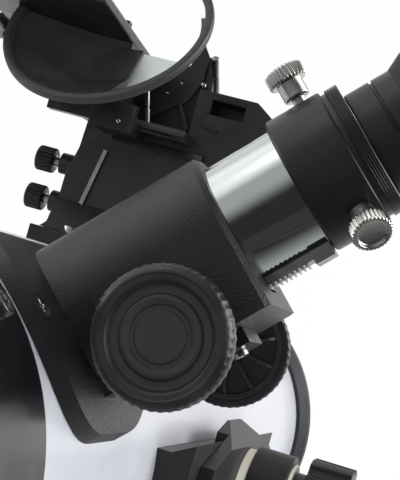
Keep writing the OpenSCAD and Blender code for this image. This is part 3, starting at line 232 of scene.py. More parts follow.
# a copy of a CAD node with its doubles merged, flat faces joined and edges rounded, standing for the node
def softened(node, width):
    source = nodes[node]
    piece = bpy.data.objects.new(node + "_rounded", source.data.copy())
    bpy.context.scene.collection.objects.link(piece)
    piece.data.materials.clear()
    work = bmesh.new()
    work.from_mesh(piece.data)
    bmesh.ops.remove_doubles(work, verts=work.verts, dist=meshRules["solidMerge"])
    bmesh.ops.dissolve_limit(work, angle_limit=math.radians(meshRules["flatAngle"]),
                             verts=work.verts, edges=work.edges)
    work.to_mesh(piece.data)
    work.free()
    roundEdges(piece, width)
    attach(piece, source["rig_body"])
    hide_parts(node)
    return piece


# materials

# sRGB to linear light: a straight line near black and a power above it
def linear(hexColour):
    channels = np.array([int(hexColour[i:i + 2], 16) / 255 for i in (1, 3, 5)])
    channels = np.where(channels <= 0.04045, channels / 12.92, ((channels + 0.055) / 1.055) ** 2.4)
    return (*channels.tolist(), 1.0)


# adds one node, sets its properties, and sets or links each named input
def addNode(tree, kind, inputs=None, **settings):
    node = tree.nodes.new(kind)
    for name, value in settings.items():
        setattr(node, name, value)
    for name, value in (inputs or {}).items():
        if isinstance(value, bpy.types.NodeSocket):
            tree.links.new(value, node.inputs[name])
        else:
            node.inputs[name].default_value = value
    return node


# sizes in each layer are millimetres of the real pattern; stretch lengthens it along the focuser's axes
finishes = {
    # rolled steel sheet, powder painted: even and pale with a faint orange peel and a soft gloss
    "paintedTube": dict(colour="#d3d5dd", rough=0.34, coat=0.25, layers=[
        dict(size=2.2, bump=0.012), dict(size=90, colour="#cbced7", amount=0.5), dict(size=14, rough=0.06)]),
    # injection moulded ABS, polished: deep black with wide clear reflections and faint flow marks
    "polishedAbs": dict(colour="#161619", rough=0.2, specular=0.5, layers=[
        dict(size=26, rough=0.07), dict(size=3.5, bump=0.01), dict(size=60, colour="#1d1d20", amount=0.6)]),
    # moulded ABS from a spark-eroded tool: a fine leathery grain that breaks the highlight into specks
    "grainedAbs": dict(colour="#0e0e0f", rough=0.4, specular=0.5, layers=[
        dict(size=0.5, bump=0.1, cells=True), dict(size=0.25, bump=0.02), dict(size=0.8, rough=0.1),
        dict(size=24, colour="#151517", amount=0.6)]),
    # moulded ABS from a plain tool: satin black with a fine tooth
    "satinAbs": dict(colour="#0f0f10", rough=0.36, specular=0.42, layers=[
        dict(size=0.7, bump=0.025), dict(size=12, rough=0.1), dict(size=30, colour="#161618", amount=0.6)]),
    # glass-filled ABS of the phone dock: satin black, its fibres showing as a faint mottle
    "dockAbs": dict(colour="#151517", rough=0.36, specular=0.5, layers=[
        dict(size=0.7, bump=0.02), dict(size=8, rough=0.08), dict(size=16, colour="#1d1d20", amount=0.7)]),
    # the same ABS in the hood, dull from a blasted tool; its charcoal colour, lighter than the dock's black, is
    # painted light that brightens the bowl so that it shades softly
    "hoodAbs": dict(colour="#222224", rough=0.52, specular=0.5, layers=[
        dict(size=0.7, bump=0.025), dict(size=8, rough=0.08), dict(size=16, colour="#2b2b2e", amount=0.7)]),
    # plain ABS a shade lighter and duller, for knob faces
    "greyAbs": dict(colour="#1c1c1e", rough=0.46, specular=0.4, layers=[
        dict(size=0.6, bump=0.03), dict(size=10, rough=0.08), dict(size=22, colour="#232326", amount=0.6)]),
    # ABS filled with talc, for the rear cell: lighter again and dulled by it
    "filledAbs": dict(colour="#26272a", rough=0.56, specular=0.25, layers=[
        dict(size=0.6, bump=0.05), dict(size=10, rough=0.08), dict(size=22, colour="#38393c", amount=0.6)]),
    # thermoplastic rubber: black, with a low sheen where it turns to the light
    "gripRubber": dict(colour="#161618", rough=0.34, specular=0.42, layers=[
        dict(size=0.5, bump=0.03), dict(size=5, rough=0.08), dict(size=9, colour="#212124", amount=0.7)]),
    # nitrile rubber of the feet, cups and sleeves: blacker and duller
    "softRubber": dict(colour="#0d0d0e", rough=0.6, specular=0.4, layers=[
        dict(size=0.45, bump=0.05), dict(size=7, colour="#161618", amount=0.7)]),
    # chrome plate on turned brass: mirror bright, faintly green, with hair-fine turning lines round the tube
    "chromePlate": dict(colour="#cdd3cf", metallic=1.0, rough=0.1, layers=[
        dict(size=0.35, bump=0.004, stretch=(40, 40, 1)), dict(size=9, rough=0.03)]),
    # nickel plate on turned steel: warmer and softer than chrome
    "nickelPlate": dict(colour="#cbcac7", metallic=1.0, rough=0.27, layers=[
        dict(size=0.3, bump=0.012), dict(size=3, rough=0.06), dict(size=5, colour="#b9b8b4", amount=0.5)]),
    # milled zinc alloy: satin with cutter lines
    "milledZinc": dict(colour="#8f9092", metallic=1.0, rough=0.3, layers=[
        dict(size=0.4, bump=0.03, stretch=(1, 18, 1)), dict(size=5, rough=0.1),
        dict(size=8, colour="#77787c", amount=0.5)]),
    # zinc plated steel screws: bright grey with a slight cloud
    "zincSteel": dict(colour="#b4b5b7", metallic=1.0, rough=0.26, layers=[
        dict(size=0.6, bump=0.02), dict(size=2.5, rough=0.1), dict(size=4, colour="#98999c", amount=0.6)]),
    # blackened screws that only glint at their edges
    "blackSteel": dict(colour="#303033", metallic=1.0, rough=0.32, layers=[
        dict(size=0.6, bump=0.03), dict(size=2.5, rough=0.12)]),
    # black anodised aluminium, bead blasted: even satin that lightens towards the light
    "anodised": dict(colour="#101011", rough=0.32, specular=0.34, layers=[
        dict(size=0.3, bump=0.02), dict(size=16, rough=0.06), dict(size=40, colour="#18181a", amount=0.5)]),
    # cast aluminium under black powder coat: pebbled and satin
    "powderCoat": dict(colour="#131314", rough=0.46, specular=0.45, layers=[
        dict(size=1.1, bump=0.06), dict(size=0.5, bump=0.03), dict(size=18, colour="#1b1b1d", amount=0.6)]),
    # bare cast aluminium of the mirror plate
    "castAluminium": dict(colour="#a8aaae", metallic=1.0, rough=0.46, layers=[
        dict(size=0.8, bump=0.08), dict(size=12, rough=0.1), dict(size=20, colour="#8f9196", amount=0.5)]),
    # melamine faced chipboard: black with a fine pressed pore
    "melamine": dict(colour="#131314", rough=0.44, specular=0.45, layers=[
        dict(size=1.4, bump=0.06, stretch=(1, 1, 9)), dict(size=0.6, bump=0.03), dict(size=35, rough=0.09),
        dict(size=50, colour="#1b1b1d", amount=0.6)]),
    # acetal and PTFE bearing parts: ivory, waxy
    "acetal": dict(colour="#d9d5c8", rough=0.42, layers=[
        dict(size=0.7, bump=0.02), dict(size=14, colour="#cfcabb", amount=0.6), dict(size=8, rough=0.08)]),
    # aluminised glass: a clean mirror with a trace of dust
    "mirrorCoat": dict(colour="#e6eaec", metallic=1.0, rough=0.025, layers=[
        dict(size=6, rough=0.02), dict(size=0.8, colour="#dadfe2", amount=0.25)]),
    # the dock's mirror: partly a real mirror, partly a pale grey diffuse colour that is a painted reflection of
    # the white sky it mirrors
    "dockMirrorPaintedReflection": dict(colour="#c9cdce", metallic=0.35, rough=0.38, layers=[
        dict(size=7, rough=0.05), dict(size=12, colour="#c2c7c9", amount=0.5)]),
    # matt black paint on the spider, the secondary and the inside of the tube
    "mattPaint": dict(colour="#0e0e0f", rough=0.7, specular=0.35, layers=[
        dict(size=0.5, bump=0.05), dict(size=10, colour="#151517", amount=0.6)]),
    # coated eyepiece glass: clear, with a faint blue
    "coatedGlass": dict(colour="#dfeaf2", rough=0.03, glass=True, layers=[dict(size=10, rough=0.01)]),
}


# what the finishes have in common; a span is the part of a pattern's range over which a layer takes effect
patternRules = dict(detail=3.0, roughSpan=(0.3, 0.7), colourSpan=(0.35, 0.65), leastRough=0.01,
                    coatRough=0.12, glassIor=1.52)


# the noise or cells of one layer; a stretched one is turned to the focuser's axes and lengthened along them
def layerPattern(tree, coords, layer):
    vector, scale = coords, perMetre / layer["size"]
    if "stretch" in layer:
        turn = Matrix(np.stack([sideDir, tubeDir, focusDir]).tolist()).to_euler()
        shrink = [1 / length for length in layer["stretch"]]
        vector = addNode(tree, "ShaderNodeMapping", {"Vector": vector, "Rotation": turn}).outputs[0]
        vector = addNode(tree, "ShaderNodeMapping", {"Vector": vector, "Scale": shrink}).outputs[0]
    if layer.get("cells"):
        return addNode(tree, "ShaderNodeTexVoronoi", {"Vector": vector, "Scale": scale}).outputs["Distance"]
    noise = {"Vector": vector, "Scale": scale, "Detail": patternRules["detail"]}
    return addNode(tree, "ShaderNodeTexNoise", noise).outputs["Fac"]


# a plain surface that its layers vary: bumps add up, and a roughness or colour goes between two values
def makeFinish(name, spec):
    material = bpy.data.materials.new(name)
    material.use_nodes = True
    tree = material.node_tree
    tree.nodes.clear()
    coords = addNode(tree, "ShaderNodeTexCoord").outputs["Object"]
    shader = addNode(tree, "ShaderNodeBsdfPrincipled", {
        "Base Color": linear(spec["colour"]), "Metallic": spec.get("metallic", 0.0),
        "Roughness": spec["rough"], "Coat Weight": spec.get("coat", 0.0),
        "Coat Roughness": patternRules["coatRough"], "Specular IOR Level": spec.get("specular", 0.5)})
    if spec.get("glass"):
        shader.inputs["Transmission Weight"].default_value = 1.0
        shader.inputs["IOR"].default_value = patternRules["glassIor"]
    varied = {}
    for layer in spec["layers"]:
        pattern = layerPattern(tree, coords, layer)
        if "bump" in layer:
            inputs = {"Height": pattern, "Strength": 1.0, "Distance": layer["bump"] / perMetre}
            if "Normal" in varied:
                inputs["Normal"] = varied["Normal"]
            varied["Normal"] = addNode(tree, "ShaderNodeBump", inputs).outputs["Normal"]
        if "rough" in layer:
            low, high = patternRules["roughSpan"]
            varied["Roughness"] = addNode(tree, "ShaderNodeMapRange", {
                "Value": pattern, "From Min": low, "From Max": high,
                "To Min": max(spec["rough"] - layer["rough"], patternRules["leastRough"]),
                "To Max": spec["rough"] + layer["rough"]}).outputs["Result"]
        if "colour" in layer:
            low, high = patternRules["colourSpan"]
            amount = addNode(tree, "ShaderNodeMapRange", {
                "Value": pattern, "From Min": low, "From Max": high,
                "To Max": layer["amount"]}).outputs["Result"]
            varied["Base Color"] = addNode(tree, "ShaderNodeMix", {
                "Factor": amount, "A": linear(spec["colour"]), "B": linear(layer["colour"])},
                data_type="RGBA").outputs["Result"]
    for socket, source in varied.items():
        tree.links.new(source, shader.inputs[socket])
    addNode(tree, "ShaderNodeOutputMaterial", {"Surface": shader.outputs[0]})
    return material


materials = {name: makeFinish(name, spec) for name, spec in finishes.items()}
print("finishes: %d" % len(materials))


# one finish over the whole piece
def dress(piece, finish):
    piece.data.materials.clear()
    piece.data.materials.append(materials[finish])
    return piece


# rides, replaces and dresses a new piece in one go
def fit(piece, body, finish, replaced=()):
    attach(piece, body)
    if replaced:
        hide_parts(*replaced)
    return dress(piece, finish)


# the solids that keep their shape: node, finish, width of the rounded edge in millimetres

solidFinish = {
    "ground_board": ("melamine", 1.2), "ground_feet": ("softRubber", 1.5), "glide_pads": ("acetal", 0.4),
    "azimuth_bolt": ("zincSteel", 0.5), "azimuth_nut": ("zincSteel", 0.5),
    "turntable_board": ("melamine", 1.2), "side_arm": ("melamine", 1.0), "arm_braces": ("melamine", 1.0),
    "arm_screws": ("zincSteel", 0.2), "altitude_bush": ("acetal", 0.4), "tube_saddle": ("powderCoat", 0.35),
    "altitude_shaft": ("zincSteel", 0.5), "friction_washer": ("acetal", 0.3),
    "tension_knob": ("satinAbs", 0.8), "saddle_jaw": ("powderCoat", 0.6), "clamp_knob": ("satinAbs", 0.6),
    "dovetail_bar": ("powderCoat", 0.6), "mount_screws": ("zincSteel", 0.25), "tube": ("paintedTube", 0),
    "front_collar": ("polishedAbs", 0), "tube_end_screws": ("zincSteel", 0.25),
    "rear_cell": ("filledAbs", 0.5), "mirror_plate": ("castAluminium", 0.5),
    "primary_mirror": ("mirrorCoat", 0), "mirror_clips": ("satinAbs", 0.4),
    "spacer_sleeves": ("softRubber", 0.4), "collimation_knob_1": ("satinAbs", 0.5),
    "collimation_knob_2": ("satinAbs", 0.5), "collimation_knob_3": ("satinAbs", 0.5),
    "spider": ("mattPaint", 0.15), "spider_screws": ("zincSteel", 0.25),
    "secondary_holder": ("mattPaint", 0.3), "secondary_mirror": ("mirrorCoat", 0),
    "secondary_screws": ("blackSteel", 0.2), "focuser_body": ("grainedAbs", 0.7),
    "focuser_screws": ("zincSteel", 0.25), "focus_rack": ("milledZinc", 0.06),
    "pinion_shaft": ("zincSteel", 0), "pinion_cover": ("satinAbs", 0.3), "cover_screws": ("nickelPlate", 0.35),
    "eyepiece_barrel": ("chromePlate", 0), "eyepiece_lenses": ("coatedGlass", 0),
    "dock_shoe": ("dockAbs", 0.8), "dock_bracket": ("dockAbs", 0.7), "dock_hood": ("hoodAbs", 0.3),
    "dock_mirror": ("dockMirrorPaintedReflection", 0.2), "phone_tray": ("dockAbs", 0.8), "phone_clamp": ("dockAbs", 0.6),
}
tubeInside = dict(finish="mattPaint", least=0.5)


# the faces that look to the tube's axis take a second finish: the normal's part along the radius is inwards
# and at least half of it
def paintInside(piece):
    faces = piece.data.polygons
    middles, normals = np.empty(len(faces) * 3), np.empty(len(faces) * 3)
    faces.foreach_get("center", middles)
    faces.foreach_get("normal", normals)
    radial = middles.reshape(-1, 3) - altitudeAt
    radial -= (radial @ tubeDir)[:, None] * tubeDir
    along = (normals.reshape(-1, 3) * radial).sum(1)
    inwards = along < -tubeInside["least"] * np.linalg.norm(radial, axis=1)
    piece.data.materials.append(materials[tubeInside["finish"]])
    faces.foreach_set("material_index", inwards.astype(np.int32))


for node, (finish, width) in solidFinish.items():
    piece = dress(softened(node, width), finish)
    if node == "tube":
        paintInside(piece)
print("solids rounded: %d" % len(solidFinish))


# focus knobs: a dished face of plain rings in front, ribs round the hub behind
knob = dict(steps=144, ribs=10, ribHalf=0.55, outline=[
    (2.1, 36, 0.2), (5, 36, 0.5), (5, 46.5, 0.6), (14.95, 46.5, 0.4), (14.95, 45.2, 0.2), (16.95, 45.2, 0.1),
    (16.95, 50.7, 0.1), (14.5, 50.7, 0.15), (13.7, 49.0, 0.3), (11.5, 48.9, 0.2), (11.0, 50.0, 0.3),
    (10.1, 50.2, 0.3), (8.6, 49.9, 0.2), (8.3, 49.3, 0.15), (7.2, 49.3, 0.15), (6.9, 49.8, 0.2), (0, 49.3, 0),
    (0, 46.2, 0), (2.1, 46.2, 0)],
    ribOutline=[(4.6, 42.6, 0.3), (13.4, 43.4, 1.2), (15.3, 45.6, 0.3), (15.3, 47, 0.1), (4.6, 47, 0.1)])


# the turned outline, and ribs swept across their thickness, each turned on from the last by an equal angle
def knobGrids(where):
    grids = [(toWorld(where, turned(rounded(knob["outline"]), knob["steps"])), True, True)]
    rib = closedEnds(swept(rounded(knob["ribOutline"]), -knob["ribHalf"], knob["ribHalf"]))
    for angle in np.arange(knob["ribs"]) * 2 * np.pi / knob["ribs"]:
        x = rib[..., 0] * np.cos(angle) - rib[..., 1] * np.sin(angle)
        y = rib[..., 0] * np.sin(angle) + rib[..., 1] * np.cos(angle)
        grids.append((toWorld(where, np.stack([x, y, rib[..., 2]], -1)), False, True))
    return grids


fit(gridObject("nearFocusKnob", knobGrids(nearKnobPlace)), "pinion", "greyAbs", ["near_knob"])
fit(gridObject("farFocusKnob", knobGrids(farKnobPlace)), "pinion", "greyAbs", ["far_knob"])

# rubber grips: a ring that laps over the rim of the face, its outer side pressed in by fine scallops
grip = dict(scallops=48, stepsEach=16, depth=0.2, share=0.42, fadeFrom=18.3, fadeOver=0.9, outline=[
    (17.05, 45.2, 0.1), (19.0, 45.2, 0.4), (19.55, 46.0, 0.6), (19.55, 48.3, 1.2), (18.9, 50.2, 1.0),
    (17.3, 51.2, 0.9), (16.7, 51.3, 0.2), (16.4, 51.1, 0.2), (14.9, 51.1, 0.25), (14.55, 50.75, 0.05),
    (17.05, 50.75, 0.05)])


# the radius falls by a parabola across each scallop, fading out towards the face
def scalloped(angle, radius, height):
    along = (angle * grip["scallops"] / (2 * np.pi)) % 1 - 0.5
    dip = np.clip(1 - (along / grip["share"]) ** 2, 0, None)
    return radius - grip["depth"] * dip * np.clip((radius - grip["fadeFrom"]) / grip["fadeOver"], 0, 1)


gripGrid = turned(rounded(grip["outline"]), grip["scallops"] * grip["stepsEach"], scalloped)
gripPiece = closedObject("knobGrips", gripGrid, nearKnobPlace, farKnobPlace)
fit(gripPiece, "pinion", "gripRubber", ["knob_grips"])
print("knobs: 2, with their grips")

# drawtube, adapter with its camera thread, eyepiece and eyecup, all turned about the focuser's axis
thread = dict(low=170.45, high=173.95, pitch=0.75, depth=0.3, radius=20.9, leastR=20.8, margin=0.05, points=46)
threadHeights = np.linspace(
    thread["low"] + thread["margin"], thread["high"] - thread["margin"], thread["points"])
turnings = {
    "drawTube": dict(
        finish="chromePlate", slot="chrome", body="drawtube", node="drawtube", steps=192, outline=[
            (17.23, 78.1, 0.1), (18.5, 78.1, 0.1), (18.73, 78.4, 0.1), (18.73, 156.5, 0.1), (18.5, 156.7, 0.1),
            (17.23, 156.7, 0.1)]),
    "eyepieceAdapter": dict(
        finish="anodised", slot="adapter_black", body="drawtube", node="eyepiece_adapter", steps=192, outline=[
            (18.83, 150.8, 0.15), (20.7, 150.8, 0.3), (21.4, 151.5, 0.4), (21.4, 168.4, 0.3),
            (20.9, 168.9, 0.2), (20.1, 168.9, 0.15), (20.1, 170.4, 0.1), (20.9, 170.4, 0.05)]
        + [(thread["radius"], height, 0) for height in threadHeights] + [
            (20.9, 174.0, 0.1), (20.5, 174.4, 0.15), (15.94, 174.4, 0.2), (15.94, 156.8, 0.2),
            (18.83, 156.8, 0.1)]),
    "eyepieceBody": dict(
        finish="anodised", slot="eyepiece_black", body="eyepiece", node="eyepiece_body", steps=160, outline=[
            (14, 174.5, 0.1), (16.2, 174.5, 0.2), (16.6, 174.9, 0.2), (16.6, 182.5, 0.1), (15.9, 182.7, 0.1),
            (15.9, 183.3, 0.1), (16.6, 183.5, 0.1), (16.6, 189.1, 0.05), (12.5, 189.1, 0.1),
            (12.5, 187.6, 0.1), (14, 187.6, 0.1)]),
    "eyeCup": dict(
        finish="softRubber", slot="eyecup_rubber", body="eyepiece", node="eyecup", steps=160, outline=[
            (12.5, 189.1, 0.1), (16.6, 189.1, 0.05), (18.6, 193.1, 1.2), (19.4, 194.6, 0.9), (19.4, 199.1, 0.7),
            (18.4, 200.1, 0.6), (16.4, 200.1, 0.6), (14.9, 193.1, 1.5), (12.5, 191.6, 0.5)]),
}


# a screw thread: the radius goes up and down once a pitch along the axis and once a turn round it
def threaded(angle, radius, height):
    inZone = (height > thread["low"]) & (height < thread["high"]) & (radius > thread["leastR"])
    wave = 0.5 - 0.5 * np.cos(2 * np.pi * (height - thread["low"]) / thread["pitch"] - angle)
    return radius - thread["depth"] * wave * inZone


for name, turning in turnings.items():
    grid = turned(rounded(turning["outline"]), turning["steps"], threaded)
    piece = closedObject(name, grid, focuserPlace)
    fit(piece, turning["body"], turning["finish"], [turning["node"]])
print("turned on the focuser's axis: %d" % len(turnings))

# nickel thumbscrews of the adapter, and the black headed ones of the dock with steel shanks
thumb = dict(height=162.9, turns=(0, 140), teeth=30, depth=0.4, headR=6.0, outline=[
    (0, 16.24, 0), (1.7, 16.24, 0.2), (2, 16.6, 0.2), (2, 23.4, 0.05), (3.7, 23.4, 0.25), (4, 23.8, 0.25),
    (4, 28.9, 0.2), (5.6, 28.9, 0.25), (6, 29.3, 0.3), (6, 33.0, 0.3), (5.5, 33.4, 0.25), (4.6, 33.4, 0.2),
    (4.2, 32.3, 0.3), (0, 32.0, 0)])
dockThumb = dict(levels=(105.8, 89.8), teeth=20, depth=0.45, headR=5.2, shankSteps=48,
    outline=[(0, 21.0, 0), (4.7, 21.0, 0.3), (5.2, 21.4, 0.4), (5.2, 28.1, 0.4), (4.8, 28.5, 0.3),
             (4.1, 28.5, 0.2), (3.7, 27.3, 0.3), (0, 27.1, 0)],
    shank=[(0, 6.9, 0), (2, 6.9, 0.2), (2, 20.6, 0.1), (2.6, 20.8, 0.1), (2.6, 21.2, 0), (0, 21.2, 0)])
knurl = dict(stepsEach=8, band=0.7, fade=0.4)


# straight knurl on a turned screw: within a band of the head's radius it waves in and out once a tooth
def knurled(screw):
    def shape(angle, radius, height):
        wave = 0.5 - 0.5 * np.cos(screw["teeth"] * angle)
        return radius - screw["depth"] * wave * np.clip(
            (radius - screw["headR"] + knurl["band"]) / knurl["fade"], 0, 1)
    return turned(rounded(screw["outline"]), screw["teeth"] * knurl["stepsEach"], shape)


thumbGrid = knurled(thumb)
thumbAt = focuserAt + focusDir * thumb["height"] / perMetre
for number, degrees in enumerate(thumb["turns"], 1):
    outwards = -(sideDir * math.cos(math.radians(degrees)) + tubeDir * math.sin(math.radians(degrees)))
    where = place(thumbAt, focusDir, np.cross(outwards, focusDir), outwards)
    node = "adapter_thumbscrew_%d" % number
    fit(closedObject("adapterThumb%d" % number, thumbGrid, where), node, "nickelPlate", [node])

headGrid = knurled(dockThumb)
shankGrid = turned(rounded(dockThumb["shank"]), dockThumb["shankSteps"])
for number, level in enumerate(dockThumb["levels"], 1):
    where = place(dockAt + upDir * level / perMetre, upDir, np.cross(-acrossDir, upDir), -acrossDir)
    node = "dock_thumbscrew_%d" % number
    head = closedObject("dockThumbHead%d" % number, headGrid, where)
    fit(head, node, "satinAbs", [node])
    shank = closedObject("dockThumbShank%d" % number, shankGrid, where)
    fit(shank, node, "zincSteel", [node])
print("thumbscrews: %d" % (len(thumb["turns"]) + len(dockThumb["levels"])))

# ribs, bars and screw heads of the dock bracket, in the dock's millimetres: across, along the tube from the
# stalk's middle, and up from the tube's axis
dockTrim = dict(cornerSteps=5, edge=0.25,
    # outlines in (along, up) carried across: under the floor, on its front edge, the apron at the stalk's foot
    bars=[([(-17.4, 118.8, 0.3), (-13.5, 118.8, 0), (-13.5, 122, 0), (-16.2, 121.7, 0.8)], 5, 43),
          ([(-26.3, 125.6, 0.2), (-24, 125.2, 0), (-24, 128.3, 0), (-25.7, 127.2, 0.15)], 13, 35.8),
          ([(-13.8, 91, 0), (-13.8, 89.5, 0), (-19, 78.3, 0.1), (-19.9, 78.3, 0.1), (-14.9, 91, 0.6)],
           -10.8, 10.8)],
    # outlines in (across, up) carried along the tube: the foot's two flares, the web under the hood's rim,
    # the wall's plate and its web, and a bent strap on the right
    ribs=[([(-10.2, 88, 0.3), (-7.6, 88, 0), (-7.6, 78.3, 0), (-15, 78.3, 0.2), (-14, 79.1, 0.4),
            (-11.4, 82, 1.2)], -14.2, 14),
          ([(10.2, 88, 0.3), (7.6, 88, 0), (7.6, 78.3, 0), (13, 78.3, 0.2), (12.2, 79.1, 0.4),
            (11, 82, 1.0)], -14.2, 14),
          ([(-18, 124.6, 0.3), (1, 124.6, 0.2), (1, 136, 0.3), (-8, 134, 0.5), (-17.8, 129.5, 0.6)],
           -27, -25.2),
          ([(13.5, 133, 0.4), (23, 140.8, 0.6), (26.5, 142.5, 0.6), (30.5, 152, 0.3), (30.6, 162.6, 0.3),
            (27.9, 166.4, 0.3), (26.9, 168.2, 0.3), (25.2, 166, 0.3), (24, 158, 0.3), (19.8, 153.6, 0.3),
            (6, 146, 0.3), (6, 139, 0.5)], -1.4, 0.3),
          ([(23.6, 141.2, 0.2), (24.9, 141.6, 0.2), (30.6, 132, 0.2), (29.3, 131.4, 0.2)], -3.0, 0.3),
          ([(34.3, 138.0, 0.1), (34.3, 136.2, 0.4), (38.2, 133.2, 1.5), (45.4, 131.7, 0.2),
            (45.4, 133.0, 0.2), (38.8, 134.5, 1.5)], -14.8, -13.5)],
    # a slanting rib on the stalk's front, its outline across and out of the front
    wedge=dict(foot=(-0.6, -14, 90.4), head=(3.4, -14, 114.2),
        outline=[(-1.1, -0.3, 0), (1.1, -0.3, 0), (1.1, 1.35, 0.3), (-1.1, 0.0, 0)]),
    # a dome's middle and radius; a peg's two ends and radius
    domes=[((31.2, -1.4, 150.9), 1.2), ((11.6, -35, 124.6), 0.85), ((17.4, -1.4, 144.2), 0.6),
           ((22.2, -1.4, 149.6), 0.6)],
    pegs=[((17.0, -14.2, 128.2), (12.9, -14.2, 142.0), 1.15), ((34.5, 8.4, 150.7), (34.5, -7.2, 161.9), 1.5)])


# the first of two points, the direction to the second, and the length in millimetres
def span(start, end):
    ends = toWorld(dockPlace, [start, end])
    return ends[0], unit(ends[1] - ends[0]), np.linalg.norm(ends[1] - ends[0]) * perMetre


wedge = dockTrim["wedge"]
wedgeAt, wedgeUp, wedgeLength = span(wedge["foot"], wedge["head"])
wedgePlace = place(wedgeAt, np.cross(wedgeUp, -tubeDir), wedgeUp, -tubeDir)
prisms = [(barPlace, *bar) for bar in dockTrim["bars"]] + [(dockPlace, *rib) for rib in dockTrim["ribs"]]
prisms.append((wedgePlace, wedge["outline"], 0, wedgeLength))
ribPiece = prismObject("dockRibs", prisms, dockTrim["cornerSteps"], dockTrim["edge"])
fit(ribPiece, "phone_dock", "dockAbs")

# screw heads and pegs: a dome's height and a peg's outline are shares of its radius and length
domeShape = dict(points=8, height=0.6, sunk=0.5, steps=32)
pegShape = dict(steps=32, outline=[
    (0, 0, 0), (1, 0, 0.1), (1, 0.45, 0.1), (0.75, 0.46, 0.05), (0.75, 0.5, 0.05), (0.92, 0.51, 0.1),
    (0.92, 1, 0.2), (0, 1, 0)])


# a screw head: a flattened quarter round turned about its axis, standing on its face towards the front
def dome(at, radius):
    bend = np.linspace(0, np.pi / 2, domeShape["points"])
    arc = np.stack([radius * np.cos(bend), domeShape["height"] * radius * np.sin(bend)], -1)
    outline = np.concatenate([[[radius, -domeShape["sunk"]]], arc, [[0, -domeShape["sunk"]]]])
    where = place(toWorld(dockPlace, at), acrossDir, upDir, -tubeDir)
    return toWorld(where, turned(outline, domeShape["steps"])), True, True


# a round peg with a groove at its half height, turned about the line from one end to the other
def peg(start, end, radius):
    foot, axis, length = span(start, end)
    side = unit(np.cross(axis, tubeDir))
    outline = rounded(np.array(pegShape["outline"]) * [radius, length, 1])
    where = place(foot, side, np.cross(axis, side), axis)
    return toWorld(where, turned(outline, pegShape["steps"])), True, True


domePiece = gridObject("dockScrewHeads", [dome(*settings) for settings in dockTrim["domes"]])
fit(domePiece, "phone_dock", "zincSteel")
pegPiece = gridObject("dockPegs", [peg(*settings) for settings in dockTrim["pegs"]])
fit(pegPiece, "phone_dock", "milledZinc")

# a bead round the rim of the dock's hood, turned about the axis of its round mouth
hood = dict(middle=(0, -45, 158), pitch=34, yaw=-10.5, cornerSteps=6, steps=192,
    rim=[(37.6, -2.9, 0.4), (40.95, -2.9, 0.5), (40.95, 0.2, 1.3), (37.6, 0.2, 1.3)])
hoodLift, hoodSwing = math.radians(90 - hood["pitch"]), math.radians(hood["yaw"])
hoodTurn = np.array(Matrix.Rotation(hoodSwing, 3, "Z") @ Matrix.Rotation(hoodLift, 3, "X"))
hoodPlace = place(toWorld(dockPlace, hood["middle"]), *(hoodTurn.T @ dockPlace[1]))
rimGrid = turned(rounded(hood["rim"], hood["cornerSteps"]), hood["steps"])
fit(closedObject("dockHoodRim", rimGrid, hoodPlace), "phone_dock", "hoodAbs")
print("dock trim: %d ribs and bars" % len(prisms))


# floor, light and camera

# boardPeriod is the spacing in metres of a wave texture's bands at scale 1
stageSettings = dict(floorSize=14.0, floorColour="#f4f4f4", worldColour="#ffffff", worldLight=0.8,
    paperFrom=-1.0, paperTo=0.6, paperTurn=(-0.5, 0.86), pictureShare=0.9, darkShare=0.03,
    boardWidth=0.16, boardLight=0.09, boardPeriod=0.314, boardBend=3.0, boardDetail=2.0,
    # what metal sees of the studio: direction, cosine where it starts and where it is full, and its white
    glows=[((-0.74, 0.1, 0.66), 0.12, 0.65, 0.48), ((-0.74, 0.1, 0.66), 0.82, 0.98, 0.78),
           ((-0.36, 0.93, 0.1), 0.5, 0.95, 0.4), ((0.88, 0.4, 0.2), 0.72, 0.96, 6.0),
           ((-0.97, -0.1, 0.2), 0.93, 0.99, 3.2), ((-0.45, 0.1, 0.89), 0.94, 0.99, 0.8)])


# two switches: 1 for a ray that the picture sees, and 1 for a ray that metal or glass sees
def seenRays(tree):
    rays = addNode(tree, "ShaderNodeLightPath").outputs
    mirrored = combined(tree, "MAXIMUM", rays["Is Glossy Ray"], rays["Is Transmission Ray"])
    return rays["Is Camera Ray"], mirrored


# two numbers or sockets joined by one operation
def combined(tree, operation, first, second):
    return addNode(tree, "ShaderNodeMath", {0: first, 1: second}, operation=operation).outputs[0]


# rises smoothly from one level to another as a point or ray goes along a direction
def rising(tree, vector, direction, low, high, start, end):
    along = addNode(tree, "ShaderNodeVectorMath", {0: vector, 1: direction}, operation="DOT_PRODUCT")
    return addNode(tree, "ShaderNodeMapRange", {
        "Value": along.outputs["Value"], "From Min": low, "From Max": high,
        "To Min": start, "To Max": end}, interpolation_type="SMOOTHSTEP").outputs["Result"]


# the paper is white in the picture; metal sees it white behind the object and dark in front, with faint boards
floorMesh = bpy.data.meshes.new("floor")
half = stageSettings["floorSize"] / 2
floorCorners = [(-half, -half, 0), (half, -half, 0), (half, half, 0), (-half, half, 0)]
floorMesh.from_pydata(floorCorners, [], [(0, 1, 2, 3)])
floor = bpy.data.objects.new("floor", floorMesh)
bpy.context.scene.collection.objects.link(floor)
floorMaterial = bpy.data.materials.new("paperFloor")
floorMaterial.use_nodes = True
tree = floorMaterial.node_tree
tree.nodes.clear()
inPicture, inMirror = seenRays(tree)
where = addNode(tree, "ShaderNodeTexCoord").outputs["Object"]
paperWhite = rising(tree, where, (*stageSettings["paperTurn"], 0), stageSettings["paperFrom"],
                    stageSettings["paperTo"], stageSettings["darkShare"], 1.0)
boards = addNode(tree, "ShaderNodeTexWave", {
    "Vector": where, "Scale": stageSettings["boardPeriod"] / stageSettings["boardWidth"],
    "Distortion": stageSettings["boardBend"], "Detail": stageSettings["boardDetail"]}).outputs["Fac"]
boardWhite = combined(tree, "MULTIPLY", boards, stageSettings["boardLight"])
paperWhite = combined(tree, "MAXIMUM", paperWhite, boardWhite)
